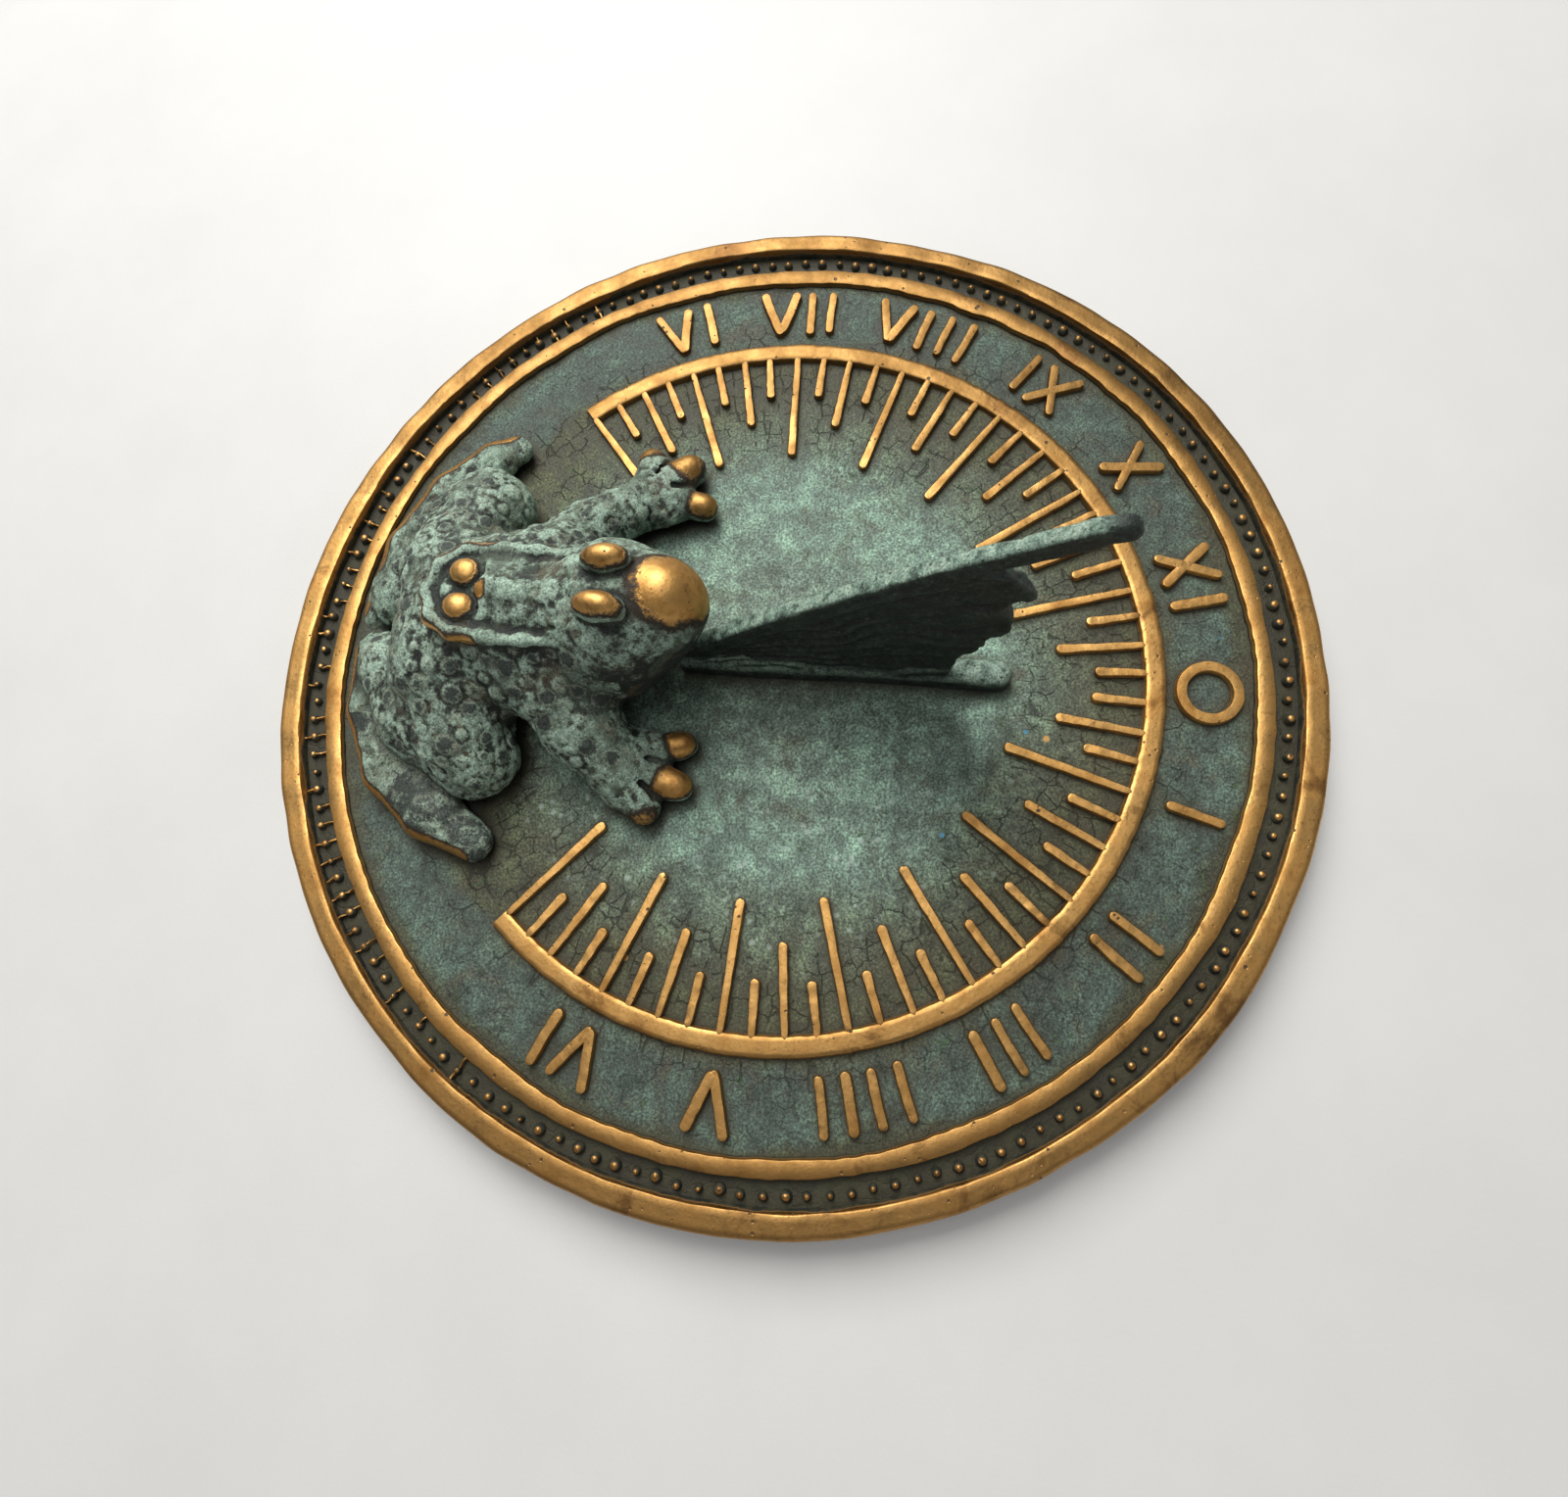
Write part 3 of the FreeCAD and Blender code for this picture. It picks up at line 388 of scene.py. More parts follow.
def verdigris(name, pale, middle, dark, soil, dullness):
    """Patina of the frog and the gnomon: pale on high places, dark in pores, rubbed through at the tips."""
    finish = Finish(name)
    cloud = finish.noise(4.5, 5, 0.68)
    fine = finish.noise(1.1, 4, 0.7)
    grit = finish.noise(0.45, 3, 0.7)
    # the hollow mark holds how deep each point lies; on the frog it also holds painted shade under the chin
    # and darkening low on the limbs
    hollow = finish.mark("hollow")
    high = finish.plus(finish.times(cloud, 0.55), finish.times(fine, 0.45))
    high = finish.minus(high, finish.times(hollow, 0.30))
    palest = shade(*[part * 1.45 for part in pale[:3]])
    tone = finish.ramp(high, (0.40, dark), (0.475, middle), (0.535, pale), (0.66, palest))
    dark_patches = finish.step(finish.noise(9, 5, 0.66, distortion=0.4), 0.47, 0.60, 0.0, 0.72)
    tone = finish.mix(dark_patches, tone, middle)
    tan = finish.step(finish.noise(7, 4, 0.6, distortion=0.8), 0.54, 0.68, 0.0, soil)
    tone = finish.mix(tan, tone, shade(0.15, 0.115, 0.065))
    green = finish.step(finish.noise(6, 4, 0.6), 0.60, 0.72, 0.0, soil * 1.3)
    tone = finish.mix(green, tone, shade(0.035, 0.085, 0.050))
    # the wart mark also makes the frog's east foot dark and patchy
    wart = finish.mark("wart")
    speck = finish.cells(1.6)
    worn_wart = finish.plus(wart, finish.swing(fine, 1.2))
    tone = finish.mix(finish.step(worn_wart, 0.12, 0.30, 0.0, 0.32), tone, shade(0.34, 0.39, 0.29))
    tone = finish.mix(finish.step(worn_wart, 0.32, 0.58, 0.0, 0.9), tone, shade(0.018, 0.025, 0.023))
    # the pale mark lays a pale crust; on the gnomon's upward faces it is partly painted light from above
    crust = finish.ramp(
        finish.noise(2.4, 5, 0.7),
        (0.36, shade(0.05, 0.08, 0.06)),
        (0.46, shade(0.17, 0.26, 0.20)),
        (0.60, shade(0.32, 0.43, 0.34)),
    )
    tone = finish.mix(finish.mark("pale"), tone, crust)
    pore = finish.times(finish.step(speck, 0.26, 0.12), finish.step(finish.noise(3.0), 0.47, 0.58))
    tone = finish.mix(finish.times(pore, 0.85), tone, shade(0.012, 0.014, 0.010))
    tone = finish.mix(1.0, tone, finish.ramp(
        grit, (0.36, grey(0.45)), (0.5, grey(1)), (0.64, grey(1.5)),
    ), "MULTIPLY")
    golden, pit, gloss, grain = worn_brass(finish, 0.6)
    rub = finish.plus(finish.mark("rub"), finish.swing(fine, 0.55))
    rub = finish.plus(rub, finish.swing(cloud, 0.75))
    brown = finish.step(rub, 0.20, 0.38)
    bright = finish.step(rub, 0.46, 0.68)
    tone = finish.mix(brown, tone, shade(0.030, 0.020, 0.010))
    tone = finish.mix(bright, tone, golden)
    # painted shade where another surface is near
    near = finish.crowding(2.2)
    tone = finish.mix(finish.step(near, 0.76, 0.40, 0.0, 0.88), tone, shade(0.010, 0.012, 0.008))
    metal = finish.times(bright, finish.without(pit))
    rough = finish.blend(bright, finish.step(cloud, 0.35, 0.65, dullness, dullness + 0.22), gloss)
    calm = finish.without(finish.times(bright, 0.8))
    normal = finish.bump(finish.times(grit, calm), 0.14)
    normal = finish.bump(finish.times(fine, calm), 0.38, normal)
    normal = finish.bump(finish.without(finish.times(pore, calm)), 0.18, normal)
    return finish.surface(tone, metal, rough, normal)


def zinc_steel():
    """Plated screws and washers, dulled under the dial."""
    finish = Finish("screw_steel")
    cloud = finish.noise(2.2, 4)
    grain = finish.noise(0.25, 3)
    colour = finish.ramp(
        cloud,
        (0.35, shade(0.33, 0.31, 0.26)),
        (0.55, shade(0.52, 0.51, 0.47)),
        (0.70, shade(0.62, 0.61, 0.58)),
    )
    rust = finish.step(finish.noise(1.4, 4), 0.60, 0.70, 0.0, 0.7)
    colour = finish.mix(rust, colour, shade(0.16, 0.075, 0.03))
    roughness = finish.step(cloud, 0.3, 0.7, 0.30, 0.52)
    return finish.surface(colour, finish.without(rust), roughness, finish.bump(grain, 0.03))


def pale_floor():
    """Plain pale card under the dial."""
    finish = Finish("pale_floor")
    cloud = finish.noise(45, 4)
    tone = finish.ramp(cloud, (0.3, shade(0.70, 0.70, 0.685)), (0.7, shade(0.735, 0.735, 0.72)))
    return finish.surface(tone, 0.0, 0.55, finish.bump(finish.noise(0.9, 3), 0.03))


BRASS = dial_brass()
PATINA = dial_patina()
FROG_PATINA = verdigris(
    "frog_patina", pale=shade(0.255, 0.350, 0.275), middle=shade(0.088, 0.115, 0.082),
    dark=shade(0.012, 0.017, 0.013), soil=0.42, dullness=0.56)
GNOMON_PATINA = verdigris(
    "gnomon_patina", pale=shade(0.019, 0.031, 0.023), middle=shade(0.007, 0.012, 0.009),
    dark=shade(0.003, 0.004, 0.003), soil=0.05, dullness=0.44)
STEEL = zinc_steel()
FLOOR = pale_floor()


# ---- mesh tools --------------------------------------------------------------------------------

def piece(name, points, faces, finish, sharp=40.0, **marks):
    """A mesh from points in millimetres. Marks are numbers kept at each point for its finish."""
    mesh = bpy.data.meshes.new(name)
    corners = [tuple(face) for face in np.asarray(faces, object).tolist()]
    mesh.from_pydata((np.asarray(points, float) * MM).tolist(), [], corners)
    for key, values in marks.items():
        mesh.attributes.new(key, "FLOAT", "POINT").data.foreach_set("value", np.asarray(values, np.float32))
    mesh.materials.append(finish)
    mesh.update()
    mesh.polygons.foreach_set("use_smooth", [True] * len(mesh.polygons))
    if sharp:
        mesh.set_sharp_from_angle(angle=math.radians(sharp))
    made = bpy.data.objects.new(name, mesh)
    bpy.context.collection.objects.link(made)
    return made


def face_outwards(made):
    """The same piece with every face pointing out of it."""
    work = bmesh.new()
    work.from_mesh(made.data)
    bmesh.ops.recalc_face_normals(work, faces=work.faces)
    work.to_mesh(made.data)
    work.free()
    return made


def lumps(points, size, seed):
    """Smooth noise from -1 to 1 at points, with lumps about size millimetres across."""
    table = np.random.default_rng(seed).random((32, 32, 32)) * 2 - 1
    spot = np.asarray(points, float) / size
    cell = np.floor(spot).astype(int)
    part = spot - cell
    part = part * part * (3 - 2 * part)
    total = np.zeros(len(spot))
    for corner in range(8):
        step = np.array([corner & 1, corner >> 1 & 1, corner >> 2 & 1])
        weight = np.prod(np.where(step, part, 1 - part), axis=1)
        x, y, z = ((cell + step) & 31).T
        total += weight * table[x, y, z]
    return total


def waver(angles, seed, amount, waves):
    """A wandering line round the dial: a sum of a few waves between the two counts."""
    random = np.random.default_rng(seed)
    low, high = waves
    total = np.zeros_like(angles)
    counts = np.unique(np.linspace(low, high, 14).astype(int))
    for count in counts:
        total += random.normal() * np.sin(count * angles + random.uniform(0, 2 * math.pi))
    return amount * total / math.sqrt(len(counts))


def turned(name, section, steps, finish, shift=None, mark=None):
    """A body turned from (radius, height) points: a disc if they start and end on the axis, a ring if not."""
    section = np.array(section, float)
    angles = np.arange(steps) * 2 * math.pi / steps
    radius = np.repeat(section[:, :1], steps, axis=1)
    height = np.repeat(section[:, 1:], steps, axis=1)
    if shift:
        radius, height = shift(radius, height, angles)
    points = np.stack([radius * np.sin(angles), radius * np.cos(angles), height], axis=-1)
    on_axis = section[:, 0] < 1e-9
    rows, flat, count = [], [], 0
    for row, single in zip(points, on_axis):
        kept = row[:1] if single else row
        flat.append(kept)
        rows.append(np.full(steps, count) if single else count + np.arange(steps))
        count += len(kept)
    flat = np.concatenate(flat)
    pairs = list(zip(rows, rows[1:]))
    if not on_axis[0]:
        pairs.append((rows[-1], rows[0]))
    faces = []
    for (first, second) in pairs:
        a, b = first, np.roll(first, -1)
        c, d = np.roll(second, -1), second
        for corners in zip(a.tolist(), b.tolist(), c.tolist(), d.tolist()):
            kept = tuple(dict.fromkeys(corners))
            if len(kept) > 2:
                faces.append(kept)
    marks = {"worn": mark(flat)} if mark else {}
    return face_outwards(piece(name, flat, faces, finish, **marks))


def woven(rows, columns, joined=False):
    """Faces between rows of points, each row a loop. The last row may be joined to the first."""
    faces = []
    for row in range(rows if joined else rows - 1):
        here, there = row * columns, (row + 1) % rows * columns
        for column in range(columns):
            after = (column + 1) % columns
            faces.append((here + column, there + column, there + after, here + after))
    return faces


def rib_points(line, width, seed, blunt=False, closed=False, wobble=0.09):
    """Points, faces and wear of a raised bar along (x, y) points, with hand-cut edges and rounded ends."""
    line = np.asarray(line, float)
    if closed:
        line = np.vstack([line, line[:1]])
    run = np.concatenate([[0], np.cumsum(np.linalg.norm(np.diff(line, axis=0), axis=1))])
    length, half = run[-1], width / 2
    turns = half * (1 - np.cos(np.linspace(0, math.pi / 2, 6)))
    middle = np.arange(half, length - half, 0.7)
    if closed or blunt:
        stations = np.linspace(0, length, int(length / 0.7) + 1)
    else:
        stations = np.unique(np.round(np.concatenate([turns, middle, length - turns]), 6))
    if closed:
        stations = stations[:-1]

    def on_line(place):
        return np.stack([np.interp(place, run, line[:, k]) for k in (0, 1)], axis=1)

    spot = on_line(stations)
    along = on_line(np.minimum(stations + 0.2, length)) - on_line(np.maximum(stations - 0.2, 0))
    along /= np.linalg.norm(along, axis=1, keepdims=True)
    across = np.stack([along[:, 1], -along[:, 0]], axis=1)
    reach = np.full(len(stations), half)
    if not (closed or blunt):
        from_end = np.minimum(stations, length - stations)
        reach = half * np.sqrt(np.clip(1 - (1 - np.clip(from_end / half, 0, 1)) ** 2, 0.02, 1))
    shape = [(-1.16, -SUNK), (-1.05, 0.45), (-0.97, 0.84), (-0.86, 0.97), (-0.5, 1.0), (0.5, 1.0),
             (0.86, 0.97), (0.97, 0.84), (1.05, 0.45), (1.16, -SUNK)]
    count, wide = len(stations), len(shape)
    points, worn = [], []
    for offset, rise in shape:
        side = np.sign(offset) if offset else 0
        place = spot + across * (offset * reach)[:, None]
        rough = lumps(np.column_stack([place, np.full(count, 7.0 * side)]), 1.9, seed)
        rough = rough + 0.6 * lumps(np.column_stack([place, np.full(count, 3.0 * side)]), 0.9, seed + 1)
        place = place + across * (side * wobble * rough)[:, None]
        level = RELIEF_HEIGHT * rise + 0.05 * rough * (rise > 0)
        points.append(np.column_stack([place, GROUND + np.where(rise < 0, -SUNK, level)]))
        worn.append(np.full(count, min(max(rise, 0.0) * 1.5, 1.0)))
    points = np.stack(points, axis=1).reshape(-1, 3)
    worn = np.stack(worn, axis=1).reshape(-1)
    faces = woven(count, wide, closed)
    if not closed:
        faces.append(tuple(range(wide)))
        faces.append(tuple((count - 1) * wide + k for k in reversed(range(wide))))
    return points, faces, worn


def gathered(name, parts, finish):
    """Several sets of points and faces as one piece."""
    points, faces, worn, start = [], [], [], 0
    for part, corners, height in parts:
        points.append(part)
        worn.append(height)
        faces += [tuple(c + start for c in face) for face in corners]
        start += len(part)
    return face_outwards(piece(name, np.concatenate(points), faces, finish, worn=np.concatenate(worn)))


def beside(points, start, end):
    """Each point's place along a straight stretch, from 0 to 1, and its distance from it."""
    start, span = np.array(start, float), np.array(end, float) - start
    place = np.clip((points - start) @ span / (span @ span), 0, 1)
    return place, np.linalg.norm(points - start - place[:, None] * span, axis=1)


def on_dial(angle, radius):
    """(x, y) at a clock angle in degrees from noon, east positive."""
    turn = math.radians(angle)
    return radius * math.sin(turn), radius * math.cos(turn)


# ---- trees that repeat -------------------------------------------------------------------------

class Growth(Nodes):
    """A geometry tree with named inputs."""

    def __init__(self, name, **inputs):
        self.tree = bpy.data.node_groups.new(name, "GeometryNodeTree")
        face = self.tree.interface
        face.new_socket("Geometry", in_out="OUTPUT", socket_type="NodeSocketGeometry")
        face.new_socket("Geometry", in_out="INPUT", socket_type="NodeSocketGeometry")
        kinds = {int: "NodeSocketInt", float: "NodeSocketFloat"}
        self.values = inputs
        self.ids = {key: face.new_socket(key, in_out="INPUT", socket_type=kinds[type(value)]).identifier
                    for key, value in inputs.items()}
        cover = face.new_socket("Finish", in_out="INPUT", socket_type="NodeSocketMaterial")
        self.ids["Finish"] = cover.identifier
        self.given = self.tree.nodes.new("NodeGroupInput").outputs

    def random(self, low, high, seed):
        made = self.node("FunctionNodeRandomValue", {2: low, 3: high, "Seed": seed}, data_type="FLOAT")
        return made.outputs[1]

    def keep(self, geometry, name, value):
        made = self.node("GeometryNodeStoreNamedAttribute", {
            "Geometry": geometry, "Name": name, "Value": value,
        }, data_type="FLOAT", domain="POINT")
        return made.outputs[0]

    def kept(self, name):
        return self.node("GeometryNodeInputNamedAttribute", {"Name": name}, data_type="FLOAT").outputs[0]

    def spread(self, count, marks):
        """The input piece once for each of count points, realized, with the marks kept on each copy."""
        line = self.node("GeometryNodeMeshLine", {"Count": count, "Offset": (0, 0, 0)}).outputs[0]
        for key, value in marks.items():
            line = self.keep(line, key, value)
        copies = self.node("GeometryNodeInstanceOnPoints", {
            "Points": line, "Instance": self.given["Geometry"],
        })
        return self.node("GeometryNodeRealizeInstances", {0: copies.outputs[0]}).outputs[0]

    def place(self, geometry, x, y, z, angle):
        """Moves points to (x, y, z) turned clockwise by angle about the dial's axis."""
        spot = self.node("ShaderNodeCombineXYZ", {0: x, 1: y, 2: z}).outputs[0]
        spun = self.node("ShaderNodeVectorRotate", {"Vector": spot, "Angle": self.times(angle, -1.0)},
                         rotation_type="Z_AXIS").outputs[0]
        return self.node("GeometryNodeSetPosition", {"Geometry": geometry, "Position": spun}).outputs[0]

    def roughen(self, geometry, amount, size, seed):
        """Uneven, hand-cut edges."""
        noise = self.node("ShaderNodeTexNoise", {
            "Scale": 1 / (size * MM), "W": seed, "Detail": 1.5,
        }, noise_dimensions="4D").outputs["Color"]
        centred = self.node("ShaderNodeVectorMath", {0: noise, 1: (0.5, 0.5, 0.5)}, operation="SUBTRACT")
        offset = self.node("ShaderNodeVectorMath", {
            0: centred.outputs[0], "Scale": amount,
        }, operation="SCALE")
        moved = self.node("GeometryNodeSetPosition", {"Geometry": geometry, "Offset": offset.outputs[0]})
        return moved.outputs[0]

    def finish(self, geometry):
        covered = self.node("GeometryNodeSetMaterial", {
            "Geometry": geometry, "Material": self.given["Finish"],
        })
        self.node("NodeGroupOutput", {0: covered.outputs[0]})

    def grown(self, name, start, finish):
        """The tree's result on the start piece as a plain mesh."""
        made = start.modifiers.new("growth", "NODES")
        made.node_group = self.tree
        for key, value in self.values.items():
            made[self.ids[key]] = value
        made[self.ids["Finish"]] = finish
        start.update_tag()
        bpy.context.view_layer.update()
        mesh = bpy.data.meshes.new_from_object(start.evaluated_get(bpy.context.evaluated_depsgraph_get()))
        mesh.name = name
        start.modifiers.clear()
        bpy.data.objects.remove(start)
        if not mesh.materials:
            mesh.materials.append(finish)
        mesh.polygons.foreach_set("use_smooth", [True] * len(mesh.polygons))
        mesh.set_sharp_from_angle(angle=math.radians(40))
        result = bpy.data.objects.new(name, mesh)
        bpy.context.collection.objects.link(result)
        return result


UNIT_LINE = 10.0


def hour_lines():
    """Every quarter-hour line of the dial from one line that is stretched between its two ends."""
    points, faces, worn = rib_points([(0, 0.6), (0, -UNIT_LINE)], LINE_WIDTH, 11, wobble=0.03)
    points[:, 0] *= np.interp(points[:, 1], [-UNIT_LINE, -1.5, 0.6], [1.10, 0.86, 0.80])
    stretch = np.clip(-points[:, 1] / (UNIT_LINE - LINE_WIDTH / 2), 0, 1)
    start = face_outwards(piece("line_start", points, faces, BRASS, worn=worn, stretch=stretch))
    lines = Growth(
        "hour_lines", Per_side=LINES_PER_SIDE, Quarter=math.radians(QUARTER), Short=SHORT_LINE * MM,
        Medium=MEDIUM_LINE * MM, Long=LONG_LINE * MM, Band=BAND_INNER * MM, Uneven=0.55 * MM, Seed=4)
    given = lines.given
    index = lines.node("GeometryNodeInputIndex").outputs[0]
    along = lines.math("MODULO", index, given["Per_side"])
    east = lines.math("LESS_THAN", index, given["Per_side"])
    side = lines.minus(lines.times(east, 2.0), 1.0)
    angle = lines.times(lines.plus(along, 0.5), given["Quarter"])
    angle = lines.times(angle, side)
    place = lines.math("MODULO", along, 4.0)
    medium = lines.math("COMPARE", place, 1.0, 0.1)
    long = lines.math("COMPARE", place, 3.0, 0.1)
    length = given["Short"]
    for chosen, other in ((medium, given["Medium"]), (long, given["Long"])):
        length = lines.blend(chosen, length, other)
    length = lines.plus(length, lines.random(-0.0006, 0.0006, given["Seed"]))
    angle = lines.plus(angle, lines.random(-0.0035, 0.0035, lines.plus(given["Seed"], 1.0)))
    copies = lines.spread(lines.times(given["Per_side"], 2.0), {"line_length": length, "line_angle": angle})
    spot = lines.split(lines.node("GeometryNodeInputPosition").outputs[0])
    grown = lines.minus(lines.kept("line_length"), UNIT_LINE * MM)
    y = lines.minus(lines.plus(spot[1], given["Band"]), lines.times(lines.kept("stretch"), grown))
    placed = lines.place(copies, spot[0], y, spot[2], lines.kept("line_angle"))
    lines.finish(lines.roughen(placed, given["Uneven"], 2.2, given["Seed"]))
    return lines.grown("hour_lines", start, BRASS)


def dome(radius, height, sides=9, rings=3):
    """Points and faces of a small raised dome on the origin, closed underneath."""
    points = [(0.0, 0.0, height)]
    for ring in range(1, rings + 1):
        turn = ring / rings * math.pi / 2
        for side in range(sides):
            angle = 2 * math.pi * side / sides
            reach = radius * math.sin(turn)
            points.append((reach * math.cos(angle), reach * math.sin(angle), height * math.cos(turn)))
    faces = [(0, 1 + side, 1 + (side + 1) % sides) for side in range(sides)]
    faces += [tuple(corner + 1 for corner in face) for face in woven(rings, sides)]
    faces.append(tuple(1 + (rings - 1) * sides + side for side in reversed(range(sides))))
    return np.array(points), faces


def bead_row():
    """The row of beads in the channel, uneven in size and place."""
    points, faces = dome(1.35, BEAD_HEIGHT + 0.25, sides=10, rings=4)
    worn = np.interp(points[:, 2] / BEAD_HEIGHT, [0.75, 1.1], [0, 0.66])
    points[:, 2] += CHANNEL - 0.15
    start = face_outwards(piece("bead_start", points, faces, BRASS, sharp=0, worn=worn))
    beads = Growth("bead_row", Count=BEADS, Circle=BEAD_CIRCLE * MM, Uneven=0.5 * MM, Seed=21)
    given = beads.given
    index = beads.node("GeometryNodeInputIndex").outputs[0]
    angle = beads.times(beads.math("DIVIDE", index, given["Count"]), 2 * math.pi)
    angle = beads.plus(angle, beads.random(-0.0022, 0.0022, given["Seed"]))
    size = beads.random(0.62, 1.12, beads.plus(given["Seed"], 1.0))
    stray = beads.random(-0.0004, 0.0004, beads.plus(given["Seed"], 2.0))
    copies = beads.spread(given["Count"], {"bead_angle": angle, "bead_size": size, "bead_stray": stray})
    spot = beads.split(beads.node("GeometryNodeInputPosition").outputs[0])
    x = beads.times(spot[0], beads.kept("bead_size"))
    y = beads.plus(beads.times(spot[1], beads.kept("bead_size")), given["Circle"])
    y = beads.plus(y, beads.kept("bead_stray"))
    placed = beads.place(copies, x, y, spot[2], beads.kept("bead_angle"))
    beads.finish(beads.roughen(placed, given["Uneven"], 1.1, given["Seed"]))
    return beads.grown("bead_row", start, BRASS)


FLASHES = 76
FLASH_LENGTH = 3.6


def casting_flash():
    """Thin raised hairlines that join beads to the rim and the ring, most of them behind the frog."""
    stations = np.linspace(-FLASH_LENGTH / 2, FLASH_LENGTH / 2, 7)
    points, worn = [], []
    shape = [(-0.42, 0.0, 0.0), (-0.16, 1.25, 0.8), (0.16, 1.25, 0.8), (0.42, 0.0, 0.0)]
    for y in stations:
        for x, z, top in shape:
            points.append((x, y, CHANNEL - 0.15 + z))
            worn.append(top)
    faces = woven(len(stations), len(shape))
    faces.append((0, 1, 2, 3))
    faces.append(tuple((len(stations) - 1) * 4 + k for k in (3, 2, 1, 0)))
    start = face_outwards(piece("flash_start", points, faces, BRASS, sharp=0, worn=worn))
    flash = Growth(
        "casting_flash", Count=FLASHES, Middle=math.pi, Reach=1.05, Circle=BEAD_CIRCLE * MM,
        Bend=1.5 * MM, Seed=33)
    given = flash.given
    index = flash.node("GeometryNodeInputIndex").outputs[0]
    step = 2 * math.pi / BEADS
    aside = flash.times(flash.random(-1.0, 1.0, given["Seed"]), given["Reach"])
    bead = flash.math("ROUND", flash.math("DIVIDE", flash.plus(given["Middle"], aside), step))
    angle = flash.times(bead, step)
    inner = flash.math("MODULO", index, 2.0)
    side = flash.minus(flash.times(inner, 2.0), 1.0)
    width = flash.random(0.5, 1.1, flash.plus(given["Seed"], 1.0))
    copies = flash.spread(given["Count"], {"flash_angle": angle, "flash_side": side, "flash_width": width})
    spot = flash.split(flash.node("GeometryNodeInputPosition").outputs[0])
    middle = flash.plus(given["Circle"], flash.times(flash.kept("flash_side"), FLASH_LENGTH / 2 * MM))
    y = flash.plus(spot[1], middle)
    x = flash.times(spot[0], flash.kept("flash_width"))
    placed = flash.place(copies, x, y, spot[2], flash.kept("flash_angle"))
    flash.finish(flash.roughen(placed, given["Bend"], 2.0, given["Seed"]))
    return flash.grown("casting_flash", start, BRASS)


# ---- the dial ----------------------------------------------------------------------------------

def dial_ground():
    """The dial casting's ground, channel, wall and hollow underside."""
    wall_radius = DIAL_RADIUS - 1.0
    foot_inner = DIAL_RADIUS - FOOT_WIDTH
    under = GROUND - WALL
    boss_face = under - BOSS_HEIGHT
    rows = [(0.0, GROUND)]
    rows += [(r, GROUND) for r in np.linspace(1.2, RING_INNER + 0.6, 92)]
    rows += [(RING_OUTER - 0.6, GROUND), (RING_OUTER + 0.05, CHANNEL)]
    rows += [(r, CHANNEL) for r in np.linspace(RING_OUTER + 0.7, RIM_INNER + 0.3, 9)]
    rows += [(RIM_INNER + 1.0, CHANNEL), (wall_radius, CHANNEL), (wall_radius, FOOT_BEVEL),
             (wall_radius - FOOT_BEVEL, 0.0), (foot_inner + 0.3, 0.0), (foot_inner, 0.3),
             (foot_inner, under - 0.8), (foot_inner - 0.8, under)]
    rows += [(r, under) for r in np.linspace(foot_inner - 6, BOSS_RADIUS + 1.5, 16)]
    rows += [(BOSS_RADIUS + 0.6, under), (BOSS_RADIUS, under - 0.6), (BOSS_RADIUS, boss_face + 0.4),
             (BOSS_RADIUS - 0.4, boss_face), (THREAD_RADIUS + 0.4, boss_face),
             (THREAD_RADIUS, boss_face + 0.4), (THREAD_RADIUS, boss_face + THREAD_DEPTH),
             (0.0, boss_face + THREAD_DEPTH + 0.6)]

    def shift(radius, height, angles):
        x, y = radius * np.sin(angles), radius * np.cos(angles)
        spots = np.stack([x, y, np.zeros_like(x)], axis=-1).reshape(-1, 3)
        soft = lumps(spots, 15, 1) * 0.22 + lumps(spots, 4.2, 2) * 0.10 + lumps(spots, 1.7, 3) * 0.05
        soft = soft.reshape(radius.shape)
        top = np.isclose(height, GROUND) & (radius < RING_INNER)
        floor = np.isclose(height, CHANNEL) & (radius < RIM_INNER + 0.5)
        return radius, height + np.where(top, soft, 0) + np.where(floor, soft * 0.8, 0)

    return turned("dial_ground", rows, GROUND_STEPS, PATINA, shift)


def screw_bosses():
    """The four rings round the screws' holes, which the lock washers seat on."""
    parts = []
    top = GROUND - WALL + 0.3
    turns = np.linspace(0, 2 * math.pi, 49)[:-1]
    for name in ("gnomon_screw_south", "gnomon_screw_north", "frog_screw_chest", "frog_screw_rump"):
        low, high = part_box(name)
        middle = (low + high) / 2 / MM
        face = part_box(name.replace("screw", "lock_washer"))[1].z / MM
        section = [(SCREW_HOLE, face), (SCREW_BOSS - 0.4, face), (SCREW_BOSS, face + 0.4),
                   (SCREW_BOSS, top), (SCREW_HOLE, top)]
        points = [(middle.x + radius * math.cos(turn), middle.y + radius * math.sin(turn), height)
                  for radius, height in section for turn in turns]
        faces = woven(len(section), len(turns), joined=True)
        parts.append((np.array(points), faces, np.zeros(len(points))))
    return gathered("screw_bosses", parts, PATINA)


